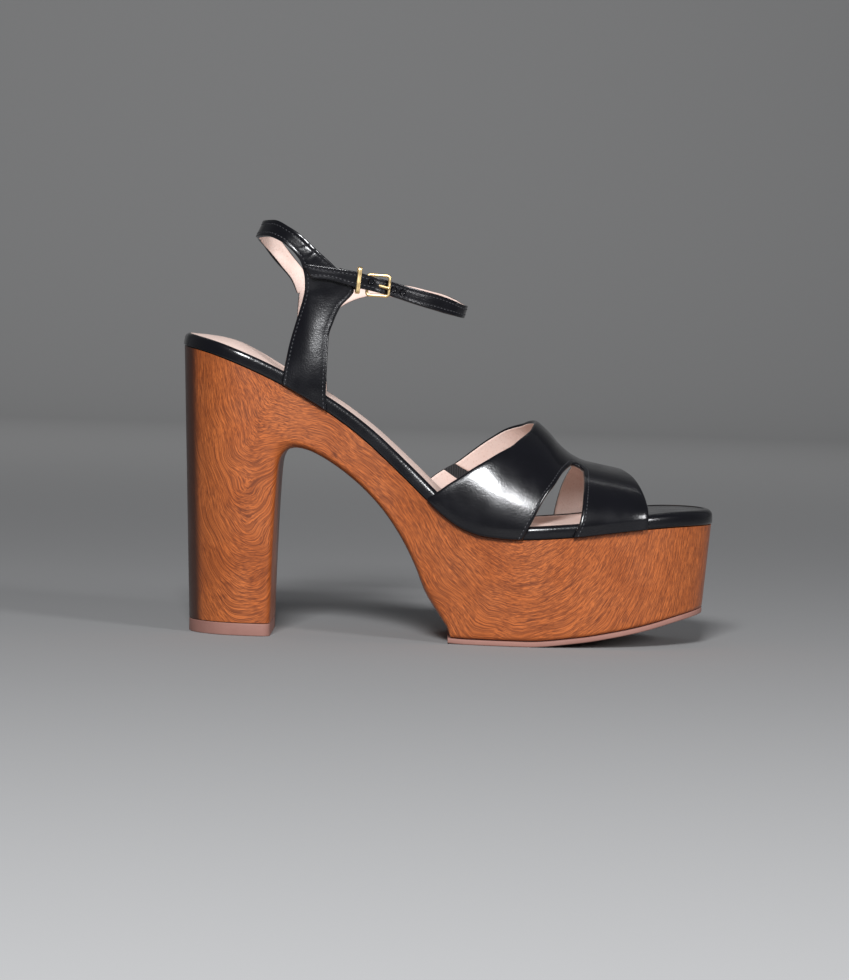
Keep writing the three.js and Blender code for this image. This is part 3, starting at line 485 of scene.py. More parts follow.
# The studio, in metres: a floor that curves up into a wall, and for each light its place, aim, size, power
# and colour
FLOOR = {"near": -4.0, "depth": 3.2, "radius": 1.2, "top": 5.0, "width": 9.0, "grey": 0.29}
MIDDLE = (0, 0, 0.08)
LIGHTS = {
    "key softbox": ((-0.14, -1.45, 0.93), MIDDLE, (0.34, 0.34), 33, (0.97, 0.98, 1)),
    "side softbox": ((1.15, -1.05, 0.65), MIDDLE, (0.3, 0.5), 13, (0.95, 0.95, 0.97)),
    "backdrop light": ((-0.4, 1.6, 2.6), (-0.3, 4.2, 0.8), (3.0, 0.8), 50, (1, 1, 1)),
}
AIR = {"colour": (0.9, 0.93, 1.0, 1), "strength": 0.13}

# The photograph's view, with its angles in degrees, and its lens: the sensor's width, the picture's width in
# pixels and the size of one pixel at the target
VIEW = {"distance": 1300, "target": (-9.476, 0, 62.709), "elevation": 2.75, "roll": 1.7}
LENS = {"sensor": 36, "pixels": 849, "pixel": 0.43}


# Curves and places


def column_curve(table, key, column):
    """A smooth curve through a table's column that never overshoots its values."""
    names = table[0]
    xs = [row[names.index(key)] for row in table[1:]]
    ys = [row[names.index(column)] for row in table[1:]]
    return smooth_curve(xs, ys)


def smooth_curve(xs, ys):
    """A cubic curve through points in order, flat at each peak."""
    last = len(xs) - 1
    slopes = [(ys[i + 1] - ys[i]) / (xs[i + 1] - xs[i]) for i in range(last)]

    def tangent(i):
        if i == 0 or i == last:
            return slopes[0] if i == 0 else slopes[-1]
        before, after = slopes[i - 1], slopes[i]
        return 0 if before * after <= 0 else 2 * before * after / (before + after)

    tangents = [tangent(i) for i in range(last + 1)]

    def curve(x):
        at = clamp(x, xs[0], xs[-1])
        i = 0
        while i < last - 1 and at > xs[i + 1]:
            i += 1
        span = xs[i + 1] - xs[i]
        t = (at - xs[i]) / span
        t2, t3 = t * t, t * t * t
        start = ys[i] * (2 * t3 - 3 * t2 + 1) + span * tangents[i] * (t3 - 2 * t2 + t)
        end = ys[i + 1] * (3 * t2 - 2 * t3) + span * tangents[i + 1] * (t3 - t2)
        return start + end

    return curve


def row_curve(table):
    """A curve for every column of a table, read by row number."""
    count = len(table) - 1
    numbers = list(range(count))
    columns = {}
    for k, name in enumerate(table[0]):
        columns[name] = smooth_curve(numbers, [row[k] for row in table[1:]])
    return lambda index: {name: curve(index) for name, curve in columns.items()}


def clamp(x, low, high):
    """A value kept between two limits."""
    return max(low, min(high, x))


def mix(a, b, t):
    """The value a share t of the way from a to b."""
    return a + (b - a) * t


def smooth_step(x, low, high):
    """Rises smoothly from 0 to 1 between two limits."""
    t = clamp((x - low) / (high - low), 0, 1)
    return t * t * (3 - 2 * t)


def steps(count, ease=lambda t: t):
    """Even shares from 0 to 1, eased if wanted."""
    return [ease(i / count) for i in range(count + 1)]


def ease_last(t):
    """Runs fast at first and slowly at the end."""
    return 1 - (1 - t) ** 3


drop = column_curve(TOP_TABLE, "along", "drop")
rise = column_curve(TOP_TABLE, "along", "rise")
spring = column_curve(SPRING_TABLE, "along", "spring")
plan = {-1: column_curve(PLAN_TABLE, "along", "outer"), 1: column_curve(PLAN_TABLE, "along", "inner")}
ridge = column_curve(RIDGE_TABLE, "along", "ridge")
loop_half = column_curve(LOOP_TABLE, "along", "half")
rim_share = column_curve(SOCK_TABLE, "along", "rim")
crown_share = column_curve(SOCK_TABLE, "along", "crown")


def along_to_x(along):
    """The x of a place that is given as a share of the sole's length."""
    return (along - 0.5) * SOLE_LENGTH


def x_to_along(x):
    """The share of the sole's length at x."""
    return x / SOLE_LENGTH + 0.5


def top_line(x):
    """Height of the platform's top at x."""
    along = x_to_along(x)
    return PLATFORM_HEIGHT + drop(along) * (HEEL_HEIGHT - PLATFORM_HEIGHT) + rise(along) * TOE_RISE


def outsole_bottom(x):
    """Height of the outsole's lower face at x."""
    return spring(x_to_along(x)) * TOE_SPRING


def end_round(along):
    """How much of its width an outline keeps near its rounded ends."""
    from_heel = max(0, 1 - along / HEEL_ROUND["length"])
    from_toe = max(0, 1 - (1 - along) / TOE_ROUND["length"])
    heel = (1 - from_heel ** HEEL_ROUND["power"]) ** (1 / HEEL_ROUND["power"])
    toe = (1 - from_toe ** TOE_ROUND["power"]) ** (1 / TOE_ROUND["power"])
    return heel * toe


def outline_y(side, x, grow, back_lean=0, front_lean=0):
    """The plan outline's y on one side, for a piece that stands out past the wood by grow."""
    back = -WOOD_LENGTH / 2 - grow + back_lean
    front = WOOD_LENGTH / 2 + grow - front_lean
    along = clamp((x - back) / (front - back), END_SLIVER, 1 - END_SLIVER)
    return side * (plan[side](along) * BALL_WIDTH + grow) * end_round(along)


def wood_y(side, x, z):
    """The wood's outline at a height: its back, toe face and sides lean in towards the floor."""
    back_lean = HEEL_RAKE * max(0, 1 - z / HEEL_HEIGHT)
    toe_top = top_line(WOOD_LENGTH / 2)
    front_lean = TOE_RAKE * clamp((toe_top - z) / (toe_top - TOE_SPRING), 0, 1)
    draft = SIDE_DRAFT * max(0, top_line(x) - z)
    kept = max(LEAST_DRAFT_SHARE, 1 - draft / (BALL_WIDTH * HEEL_SHARE))
    return outline_y(side, x, 0, back_lean, front_lean) * kept


def on_top(x, y, height):
    """A point of a layer that follows the platform's top, by its height off that top."""
    slope = top_line(x + 0.5) - top_line(x - 0.5)
    normal = Vector((-slope, 0, 1)).normalized()
    return Vector((x + normal.x * height, y, top_line(x) + normal.z * height))


# Mesh tools


def deselect_all():
    """Leaves edit mode and selects nothing."""
    if bpy.context.object and bpy.context.object.mode != "OBJECT":
        bpy.ops.object.mode_set(mode="OBJECT")
    bpy.ops.object.select_all(action="DESELECT")


def activate(piece):
    """Selects this piece alone and makes it the active one."""
    deselect_all()
    piece.select_set(True)
    bpy.context.view_layer.objects.active = piece


def added(name):
    """Names the primitive that was just added."""
    piece = bpy.context.object
    piece.name = name
    piece.data.name = name
    return piece


def grid_piece(name, points):
    """A grid primitive with its corners moved to rows of points."""
    rows, columns = len(points) - 1, len(points[0]) - 1
    deselect_all()
    bpy.ops.mesh.primitive_grid_add(x_subdivisions=columns, y_subdivisions=rows, size=1)
    piece = added(name)
    mesh = piece.data
    places = []
    for corner in mesh.vertices:
        r = round((corner.co.y + 0.5) * rows)
        c = round((corner.co.x + 0.5) * columns)
        places.append((r, c))
        corner.co = points[r][c] * MM
    return piece, places


def edit_all(piece, *operators):
    """Runs operators in edit mode, each on the whole piece."""
    activate(piece)
    bpy.ops.object.mode_set(mode="EDIT")
    for operator in operators:
        bpy.ops.mesh.select_all(action="SELECT")
        operator()
    bpy.ops.object.mode_set(mode="OBJECT")


def merge_seam():
    """Merges corners that lie in one place."""
    bpy.ops.mesh.remove_doubles(threshold=0.00001)


def fill_ends():
    """Fills each open end with one face."""
    bpy.ops.mesh.fill_holes(sides=0)


def turn_out():
    """Turns all faces outwards."""
    bpy.ops.mesh.normals_make_consistent(inside=False)


def close_up(piece):
    """Merges a wrapped grid along its seam, fills its ends and turns its faces out."""
    edit_all(piece, merge_seam, fill_ends, turn_out)


def loft(name, rings):
    """A closed solid through rings of equal length."""
    closed = [ring + [ring[0]] for ring in rings]
    piece, _ = grid_piece(name, closed)
    close_up(piece)
    return piece


def smooth(piece, degrees=35):
    """Shades a piece smooth, but for edges sharper than the angle."""
    activate(piece)
    bpy.ops.object.shade_smooth_by_angle(angle=math.radians(degrees))


def apply_modifier(piece, kind, **values):
    """Adds a modifier with these values and applies it."""
    activate(piece)
    modifier = piece.modifiers.new(kind.title(), kind)
    for key, value in values.items():
        setattr(modifier, key, value)
    bpy.ops.object.modifier_apply(modifier=modifier.name)


def delete_cells(piece, places, keep):
    """Deletes the grid's cells that keep says no to."""
    activate(piece)
    bpy.ops.object.mode_set(mode="EDIT")
    bpy.ops.mesh.select_mode(type="FACE")
    bpy.ops.object.mode_set(mode="OBJECT")
    for face in piece.data.polygons:
        row = min(places[v][0] for v in face.vertices)
        column = min(places[v][1] for v in face.vertices)
        face.select = not keep(row, column)
    bpy.ops.object.mode_set(mode="EDIT")
    bpy.ops.mesh.delete(type="FACE")
    bpy.ops.object.mode_set(mode="OBJECT")


def face_away(piece, inside):
    """Turns a sheet so that its faces point away from the foot."""
    out = 0
    for face in piece.data.polygons:
        centre = face.center / MM
        out += face.normal.dot((centre - inside(centre)).normalized())
    if out < 0:
        edit_all(piece, bpy.ops.mesh.flip_normals)


def grid_normal(points, r, c, inside):
    """The direction out of a grid of points, away from the foot."""
    rows, columns = len(points), len(points[0])
    down = points[min(r + 1, rows - 1)][c] - points[max(r - 1, 0)][c]
    over = points[r][min(c + 1, columns - 1)] - points[r][max(c - 1, 0)]
    normal = down.cross(over).normalized()
    return normal if normal.dot(points[r][c] - inside(points[r][c])) >= 0 else -normal


def raised(points, inside, height):
    """The same grid with each point moved out by height(row, column, point)."""
    def moved(r, c, point):
        return point + grid_normal(points, r, c, inside) * height(r, c, point)

    return [[moved(r, c, point) for c, point in enumerate(row)] for r, row in enumerate(points)]


def leather_wall(name, points, thickness, inside, finishes, keep=None, levels=1):
    """A strap or panel with a wall of even thickness, the lining on its inner face."""
    piece, places = grid_piece(name, points)
    if keep:
        delete_cells(piece, places, keep)
    face_away(piece, inside)
    for finish in finishes:
        piece.data.materials.append(finish)
    apply_modifier(
        piece, "SOLIDIFY", thickness=thickness * MM, offset=0, material_offset=1, use_quality_normals=True
    )
    apply_modifier(piece, "SUBSURF", levels=levels, render_levels=levels)
    smooth(piece, 60)
    return piece


def finished(piece, nodes, finish=None):
    """Finishes a piece: gives it its material if one is given, hides the model's parts that it stands for and
    hangs it on the root body.
    """
    if finish:
        piece.data.materials.clear()
        piece.data.materials.append(finish)
    if nodes:
        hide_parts(*nodes)
    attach(piece, "root")
    return piece


# Materials


def paint(red, green, blue):
    """A colour as the eye sees it, from 0 to 255, turned to the renderer's linear values."""
    def linear(value):
        c = value / 255
        return c / 12.92 if c <= 0.04045 else ((c + 0.055) / 1.055) ** 2.4

    return (linear(red), linear(green), linear(blue), 1)


def start_material(name, **values):
    """A material with one shader, whose plain values are set on its own sockets."""
    material = bpy.data.materials.new(name)
    material.use_nodes = True
    tree = material.node_tree
    shader = tree.nodes["Principled BSDF"]
    for key, value in values.items():
        shader.inputs[key.replace("_", " ")].default_value = value
    return material, tree, shader


def node(tree, kind, **values):
    """A node with its settings, its inputs given by name or number."""
    made = tree.nodes.new(kind)
    inputs = values.pop("inputs", {})
    for key, value in values.items():
        setattr(made, key, value)
    for key, value in inputs.items():
        socket = made.inputs[key]
        if isinstance(value, bpy.types.NodeSocket):
            tree.links.new(value, socket)
        else:
            socket.default_value = value
    return made


def math_node(tree, operation, a, b=0.0):
    """The result of one sum on two values."""
    return node(tree, "ShaderNodeMath", operation=operation, inputs={0: a, 1: b}).outputs[0]


def ramp(tree, value, low, high, to_low=0.0, to_high=1.0):
    """Maps a value from one range to another, smoothly and limited."""
    return node(
        tree,
        "ShaderNodeMapRange",
        interpolation_type="SMOOTHSTEP",
        inputs={"Value": value, "From Min": low, "From Max": high, "To Min": to_low, "To Max": to_high},
    ).outputs["Result"]


def mix_colour(tree, share, first, second):
    """The first colour where share is 0 and the second where it is 1."""
    made = node(tree, "ShaderNodeMix", data_type="RGBA")
    for name, value in (("Factor", share), ("A", first), ("B", second)):
        socket = next(s for s in made.inputs if s.name == name and s.enabled)
        if isinstance(value, bpy.types.NodeSocket):
            tree.links.new(value, socket)
        else:
            socket.default_value = value
    return next(s for s in made.outputs if s.enabled)


def noise(tree, vector, scale=1.0, detail=2.0, rough=0.5):
    """Soft noise, as a value."""
    return node(
        tree,
        "ShaderNodeTexNoise",
        inputs={"Vector": vector, "Scale": scale, "Detail": detail, "Roughness": rough},
    ).outputs[0]


def object_place(tree):
    """The place on the piece, in metres."""
    return node(tree, "ShaderNodeTexCoord").outputs["Object"]


def feed(tree, shader, **values):
    """Links values that change over the surface to the shader's sockets."""
    for key, value in values.items():
        tree.links.new(value, shader.inputs[key.replace("_", " ")])


def new_group(name, inputs, outputs):
    """A shader node group with named inputs and outputs."""
    group = bpy.data.node_groups.new(name, "ShaderNodeTree")
    for label, kind, value in inputs:
        socket = group.interface.new_socket(label, in_out="INPUT", socket_type=kind)
        if value is not None:
            socket.default_value = value
    for label, kind in outputs:
        group.interface.new_socket(label, in_out="OUTPUT", socket_type=kind)
    return group, group.nodes.new("NodeGroupInput").outputs, group.nodes.new("NodeGroupOutput").inputs


def use_group(tree, group, inputs):
    """The results of a node group with these inputs."""
    return node(tree, "ShaderNodeGroup", node_tree=group, inputs=inputs).outputs


def leather_grain_group():
    """The fine pebble of smooth leather, with its pores and soft unevenness."""
    group, given, result = new_group(
        "leather grain",
        [("Vector", "NodeSocketVector", None), ("Pebble", "NodeSocketFloat", 0.0007)],
        [("Height", "NodeSocketFloat"), ("Cloud", "NodeSocketFloat")],
    )
    place = given["Vector"]
    scale = math_node(group, "DIVIDE", 1.0, given["Pebble"])
    inputs = {"Vector": place, "Scale": scale}
    cells = node(group, "ShaderNodeTexVoronoi", feature="SMOOTH_F1", inputs=inputs).outputs["Distance"]
    domes = math_node(group, "MULTIPLY", cells, 0.6)
    pores = math_node(group, "MULTIPLY", noise(group, place, scale, 3.0, 0.6), 0.5)
    group.links.new(math_node(group, "ADD", domes, pores), result["Height"])
    group.links.new(noise(group, place, 90.0, 3.0, 0.55), result["Cloud"])
    return group


def bump(tree, height, distance, strength=1.0, normal=None):
    """A normal raised by a height, in metres."""
    inputs = {"Height": height, "Distance": distance, "Strength": strength}
    if normal:
        inputs["Normal"] = normal
    return node(tree, "ShaderNodeBump", inputs=inputs).outputs[0]


def make_black_leather(grain):
    """Smooth polished black leather, faintly blue in its gloss."""
    material, tree, shader = start_material("black leather", Coat_Roughness=0.12, Specular_IOR_Level=0.4)
    place = object_place(tree)
    effect = use_group(tree, grain, {"Vector": place, "Pebble": 0.0006})
    cloud = effect["Cloud"]
    soft = bump(tree, noise(tree, place, 150.0, 3.0, 0.5), 0.0004, 0.15)
    feed(
        tree,
        shader,
        Base_Color=mix_colour(tree, cloud, paint(5, 5, 8), paint(11, 11, 17)),
        Roughness=ramp(tree, cloud, 0.3, 0.7, 0.18, 0.25),
        Coat_Weight=ramp(tree, cloud, 0.35, 0.65, 0.4, 0.25),
        Normal=bump(tree, effect["Height"], 0.00008, 0.5, soft),
    )
    return material


def make_pale_leather(grain):
    """Matt pale pink lining leather with fine pores."""
    material, tree, shader = start_material("pale lining leather", Specular_IOR_Level=0.3)
    place = object_place(tree)
    effect = use_group(tree, grain, {"Vector": place, "Pebble": 0.0009})
    cloud = effect["Cloud"]
    colour = mix_colour(tree, cloud, paint(219, 192, 180), paint(231, 210, 200))
    pores = ramp(tree, noise(tree, place, 1500.0, 2.0, 0.6), 0.58, 0.7)
    pore_share = math_node(tree, "MULTIPLY", pores, 0.4)
    feed(
        tree,
        shader,
        Base_Color=mix_colour(tree, pore_share, colour, paint(190, 138, 114)),
        Roughness=ramp(tree, cloud, 0.3, 0.7, 0.55, 0.68),
        Normal=bump(tree, effect["Height"], 0.00012, 0.6),
    )
    return material


def fibre_group():
    """Wood fibres: short dark lines that follow the grain."""
    names = ("Along", "Across", "Length", "Width", "Seed")
    values = (0.0, 0.0, 0.006, 0.0005, 0.0)
    group, given, result = new_group(
        "wood fibres",
        [(name, "NodeSocketFloat", value) for name, value in zip(names, values)],
        [("Fibre", "NodeSocketFloat")],
    )
    along = math_node(group, "DIVIDE", given["Along"], given["Length"])
    across = math_node(group, "DIVIDE", given["Across"], given["Width"])
    inputs = {"X": along, "Y": across, "Z": given["Seed"]}
    place = node(group, "ShaderNodeCombineXYZ", inputs=inputs).outputs[0]
    group.links.new(noise(group, place, 1.0, 1.0, 0.5), result["Fibre"])
    return group


def wood_fibres(tree, place):
    """How dark the fine fibres are and the streaks among them, which both follow the stored grain."""
    grain = node(tree, "ShaderNodeAttribute", attribute_name=GRAIN_ATTRIBUTE).outputs["Vector"]
    parts = node(tree, "ShaderNodeSeparateXYZ", inputs={0: grain}).outputs
    sway = ramp(tree, noise(tree, place, SWAY["scale"], 1.0), 0.2, 0.8, -SWAY["reach"], SWAY["reach"])
    across = math_node(tree, "ADD", parts["Y"], sway)
    group = fibre_group()

    def fibre(length, width, seed):
        inputs = {"Along": parts["X"], "Across": across, "Length": length, "Width": width, "Seed": seed}
        return use_group(tree, group, inputs)["Fibre"]

    clear = None
    for k, (length, width, strength) in enumerate(FIBRE_LAYERS):
        layer = fibre(length, width, FIBRE_SEED * k)
        left = ramp(tree, layer, FIBRE_EDGE["from"], FIBRE_EDGE["to"], 1.0, 1.0 - strength)
        clear = math_node(tree, "MULTIPLY", clear, left) if clear else left
    streak = fibre(STREAKS["length"], STREAKS["width"], STREAKS["seed"])
    streak = ramp(tree, streak, STREAKS["from"], STREAKS["to"], 0.0, STREAKS["share"])
    return math_node(tree, "SUBTRACT", 1.0, clear), streak


def knot_share(tree, spot):
    """How much of the small dark knot in the shank shows."""
    aside = math_node(tree, "SUBTRACT", spot["X"], KNOT["x"])
    above = math_node(tree, "SUBTRACT", spot["Z"], KNOT["z"])
    squares = [math_node(tree, "POWER", distance, 2.0) for distance in (aside, above)]
    away = math_node(tree, "SQRT", math_node(tree, "ADD", *squares))
    return ramp(tree, away, 0.0, KNOT["radius"], KNOT["share"], 0.0)


def back_edge_shade_share(tree, spot):
    """How much painted shade darkens the heel towards its back edge, which leans in towards the floor."""
    lean = math_node(tree, "MULTIPLY", spot["Z"], BACK_EDGE_SHADE["slope"])
    upright = math_node(tree, "ADD", spot["X"], lean)
    from_back = math_node(tree, "ADD", upright, BACK_EDGE_SHADE["x"])
    return ramp(tree, from_back, BACK_EDGE_SHADE["from"], BACK_EDGE_SHADE["to"], BACK_EDGE_SHADE["share"], 0.0)


def make_wood():
    """Satin wood finish: fine dark fibres along a flowing grain, on a reddish brown ground, with painted
    shade on the heel's back edge.
    """
    material, tree, shader = start_material(
        "wood finish", Coat_Roughness=0.3, Coat_Weight=0.15, Specular_IOR_Level=0.4
    )
    place = object_place(tree)
    spot = node(tree, "ShaderNodeSeparateXYZ", inputs={0: place}).outputs
    cloud = noise(tree, place, 45.0, 3.0, 0.55)
    ground = ramp(tree, cloud, 0.32, 0.68)
    colour = mix_colour(tree, ground, paint(181, 96, 44), paint(194, 107, 52))
    for share in wood_fibres(tree, place):
        colour = mix_colour(tree, share, colour, paint(84, 36, 18))
    colour = mix_colour(tree, knot_share(tree, spot), colour, paint(70, 30, 16))
    # Painted shade: the heel's back edge, turned away from the lights, is darkened in the colour itself
    colour = mix_colour(tree, back_edge_shade_share(tree, spot), colour, paint(40, 17, 9))
    feed(tree, shader, Base_Color=colour, Roughness=ramp(tree, cloud, 0.3, 0.7, 0.34, 0.44))
    return material


def make_rubber():
    """Matt rosy brown rubber of the outsole and the heel's lift."""
    material, tree, shader = start_material("rosy rubber", Specular_IOR_Level=0.35)
    place = object_place(tree)
    cloud = noise(tree, place, 70.0, 3.0, 0.6)
    feed(
        tree,
        shader,
        Base_Color=mix_colour(tree, cloud, paint(131, 91, 82), paint(154, 114, 103)),
        Roughness=ramp(tree, cloud, 0.3, 0.7, 0.55, 0.72),
        Normal=bump(tree, noise(tree, place, 900.0, 3.0, 0.6), 0.0001, 0.5),
    )
    return material


def make_elastic():
    """Black ribbed elastic."""
    material, tree, shader = start_material("ribbed elastic", Sheen_Weight=0.3, Roughness=0.85)
    ribs = node(
        tree,
        "ShaderNodeTexWave",
        wave_type="BANDS",
        bands_direction="X",
        inputs={"Vector": object_place(tree), "Scale": 300.0, "Distortion": 0.4, "Detail": 1.0},
    ).outputs["Color"]
    feed(
        tree,
        shader,
        Base_Color=mix_colour(tree, ribs, paint(14, 14, 15), paint(44, 44, 47)),
        Normal=bump(tree, ribs, 0.0003, 0.8),
    )
    return material


def make_gold():
    """Pale gold plating, polished, with a slightly uneven gloss."""
    material, tree, shader = start_material("pale gold", Metallic=1.0)
    cloud = noise(tree, object_place(tree), 320.0)
    feed(
        tree,
        shader,
        Base_Color=mix_colour(tree, cloud, paint(246, 208, 142), paint(253, 228, 175)),
        Roughness=ramp(tree, cloud, 0.3, 0.7, 0.28, 0.4),
    )
    return material


def make_thread():
    """Black waxed sewing thread."""
    material, tree, shader = start_material("black thread", Specular_IOR_Level=0.5, Roughness=0.45)
    twist = noise(tree, object_place(tree), 2500.0, 1.0)
    feed(
        tree,
        shader,
        Base_Color=mix_colour(tree, twist, paint(16, 16, 18), paint(48, 48, 54)),
        Normal=bump(tree, twist, 0.0001, 0.5),
    )
    return material


grain_group = leather_grain_group()
black_leather = make_black_leather(grain_group)
pale_leather = make_pale_leather(grain_group)
wood_finish = make_wood()
rubber = make_rubber()
elastic = make_elastic()
gold = make_gold()
thread = make_thread()


# The wood unit


def bar_outer(position):
    """The outer edge of the bent bar: up the heel's back, then along the top."""
    if position <= 1:
        z = mix(LIFT_THICKNESS + GAP, top_line(-WOOD_LENGTH / 2), position)
        return Vector((-WOOD_LENGTH / 2 + HEEL_RAKE * (1 - z / HEEL_HEIGHT), 0, z))
    x = mix(-WOOD_LENGTH / 2, WOOD_LENGTH / 2, position - 1)
    return Vector((x, 0, top_line(x)))


def bar_rows():
    """The rows of the bent bar, each with the two ends of a line across its side."""
    curve = row_curve(BAR_TABLE)
    last = len(BAR_TABLE) - 2
    rows = []
    for t in steps(BAR_STEPS * last):
        row = curve(t * last)
        z = max(LIFT_THICKNESS + GAP, row["up"] * HEEL_HEIGHT)
        rows.append((Vector((along_to_x(row["along"]), 0, z)), bar_outer(row["outer"]), row["round"]))
    for t in steps(PLATFORM_STEPS, ease_last):
        x = mix(along_to_x(PLATFORM_BACK["along"]), WOOD_LENGTH / 2 - TOE_RAKE, t)
        low = Vector((x, 0, outsole_bottom(x) + OUTSOLE_THICKNESS + GAP))
        rows.append((low, bar_outer(mix(PLATFORM_BACK["outer"], 2, t)), PLATFORM_BACK["round"]))
    return rows


def round_off(radius, distance):
    """How much a rounded edge takes off a side, at a distance from the edge."""
    return 0 if distance >= radius else radius - math.sqrt(radius**2 - (radius - distance) ** 2)


def bar_ring(inner, outer, radius):
    """The ring of the bar at one row: up its outer side and down its inner side."""
    length = (inner - outer).length
    edge = radius / length
    shares = [edge * t for t in steps(EDGE_STEPS, lambda t: t * t)]
    shares += [mix(edge, 1, t) for t in steps(SIDE_STEPS, lambda t: math.sin(math.pi / 2 * t))[1:]]

    def side_point(side, share):
        p = inner.lerp(outer, share)
        y = wood_y(side, p.x, p.z)
        taken = min(round_off(radius, share * length), abs(y) * MOST_ROUNDING)
        return Vector((p.x, y - side * taken, p.z))

    return [side_point(-1, s) for s in shares] + [side_point(1, s) for s in reversed(shares)]


def grain_near(a, b):
    """How much one place on the side counts at another."""
    return 1 / ((a - b).length_squared + GRAIN_REACH**2) ** 2


def grain_levels(places, ways):
    """A level for each place, which grows along its way and agrees with its neighbours."""
    levels = [0.0] * len(places)
    for _ in range(GRAIN_ROUNDS):
        for i, place in enumerate(places):
            total, weight = 0.0, 0.0
            for j, other in enumerate(places):
                if j != i:
                    near = grain_near(place, other)
                    total += near * (levels[j] + (ways[i] + ways[j]).dot(place - other) / 2)
                    weight += near
            levels[i] = total / weight
    return levels


def level_field(places, ways):
    """A smooth height over the side of the shoe, whose slope at each place is its way."""
    levels = grain_levels(places, ways)

    def height(point):
        total, weight = 0.0, 0.0
        for place, way, level in zip(places, ways, levels):
            near = grain_near(point, place)
            total += near * (level + way.dot(point - place))
            weight += near
        return total / weight

    return height


def grain_turn(x, turn):
    """The angle of a row of the grain table, in radians and between a right angle back and one forward."""
    return math.radians(turn - 180 if turn > 90 or x < GRAIN_FLIP else turn)


def grain_fields():
    """How far a place on the side lies along the grain and across it."""
    places = [Vector((x, z)) for x, z, _ in GRAIN_TABLE[1:]]
    turns = [grain_turn(x, turn) for x, _, turn in GRAIN_TABLE[1:]]
    along = level_field(places, [Vector((math.cos(t), math.sin(t))) for t in turns])
    across = level_field(places, [Vector((math.sin(t), -math.cos(t))) for t in turns])
    return along, across


def build_wood():
    """The wood unit, which keeps the grain's way at each corner of its mesh."""
    rings = [bar_ring(*row) for row in bar_rows()]
    piece = loft("wood_unit", rings)
    smooth(piece, 40)
    along, across = grain_fields()
    grain = piece.data.attributes.new(GRAIN_ATTRIBUTE, "FLOAT_VECTOR", "POINT")
    for corner in piece.data.vertices:
        place = Vector((corner.co.x, corner.co.z)) / MM
        grain.data[corner.index].vector = (along(place) * MM, across(place) * MM + corner.co.y, 0)
    return finished(piece, ["platform_heel"], wood_finish)


# The rubber under the heel and the platform


def soft_section(half_outer, half_inner, low, high, radius, x):
    """A flat section with rounded edges, from its outer side round to its inner side."""
    turns = [math.pi / 2 * t for t in steps(4)]
    edge = [(radius * (1 - math.sin(turn)), radius * (1 - math.cos(turn))) for turn in turns]
    section = [(inset, low + rise) for inset, rise in edge]
    section += [(inset, high - rise) for inset, rise in reversed(edge)]
    outer = [Vector((x, half_outer + inset, z)) for inset, z in section]
    inner = [Vector((x, half_inner - inset, z)) for inset, z in reversed(section)]
    return outer + inner


def build_lift():
    """The lift under the heel, its front corners rounded as the wood's are."""
    back = -WOOD_LENGTH / 2 + HEEL_RAKE
    front = along_to_x(BAR_TABLE[1][0])
    radius = BAR_TABLE[1][3]
    rings = []
    for t in steps(LIFT_STEPS, lambda t: (1 - math.cos(math.pi * t)) / 2):
        x = mix(back, front, t)
        halves = []
        for side in (-1, 1):
            y = wood_y(side, x, LIFT_THICKNESS)
            halves.append(y - side * min(round_off(radius, front - x), abs(y) * MOST_ROUNDING))
        edge = min(LIFT_EDGE, abs(halves[0]) * EDGE_LIMIT)
        rings.append(soft_section(*halves, 0, LIFT_THICKNESS, edge, x))
    piece = loft("heel_lift", rings)
    smooth(piece, 50)
    return finished(piece, ["heel_top_lift"], rubber)


def build_outsole():
    """The thin outsole, which follows the platform's toe spring."""
    back = along_to_x(PLATFORM_BACK["along"]) - OUTSOLE_THICKNESS / 2
    front = WOOD_LENGTH / 2 - TOE_RAKE
    rings = []
    for t in steps(OUTSOLE_STEPS, ease_last):
        x = mix(back, front, t)
        low = outsole_bottom(x)
        high = low + OUTSOLE_THICKNESS
        halves = [wood_y(side, x, high) for side in (-1, 1)]
        edge = min(OUTSOLE_EDGE, abs(halves[0]) * EDGE_LIMIT)
        rings.append(soft_section(*halves, low, high, edge, x))
    piece = loft("platform_outsole", rings)
    smooth(piece, 50)
    return finished(piece, ["forefoot_outsole"], rubber)


# The footbed and its sock


def bed_stations(back, front, heel_end, toe_start):
    """Stations from heel to toe, close together at the rounded ends."""
    heel = [mix(back, heel_end, t**3) for t in steps(END_STEPS)]
    middle = [mix(heel_end, toe_start, t) for t in steps(BED_STEPS)]
    toe = [mix(toe_start, front, ease_last(t)) for t in steps(END_STEPS)]
    return heel + middle[1:] + toe[1:]


def sock_y(side, x, grow):
    """Half width of the sock at x, or of its seat, which is larger by grow."""
    along = x_to_along(x - grow)
    edge = outline_y(side, x, FOOTBED_OVERHANG - RIM_WIDTH * rim_share(along) + grow)
    past = clamp(1 - (SOCK_FRONT["along"] - along) / SOCK_FRONT["round"], 0, 0.9999)
    return edge * math.sqrt(1 - past * past)


def rim_profile():
    """The footbed's rolled edge, from its underside up to its top: shares out and up."""
    profile = [*RIM_FOOT, (1, UPRIGHT_SHARE)]
    for t in steps(10)[1:]:
        angle = math.pi / 2 * t
        out = math.cos(angle) ** ROLL_POWER if t < 1 else 0
        profile.append((out, UPRIGHT_SHARE + (1 - UPRIGHT_SHARE) * math.sin(angle) ** ROLL_POWER))
    return profile


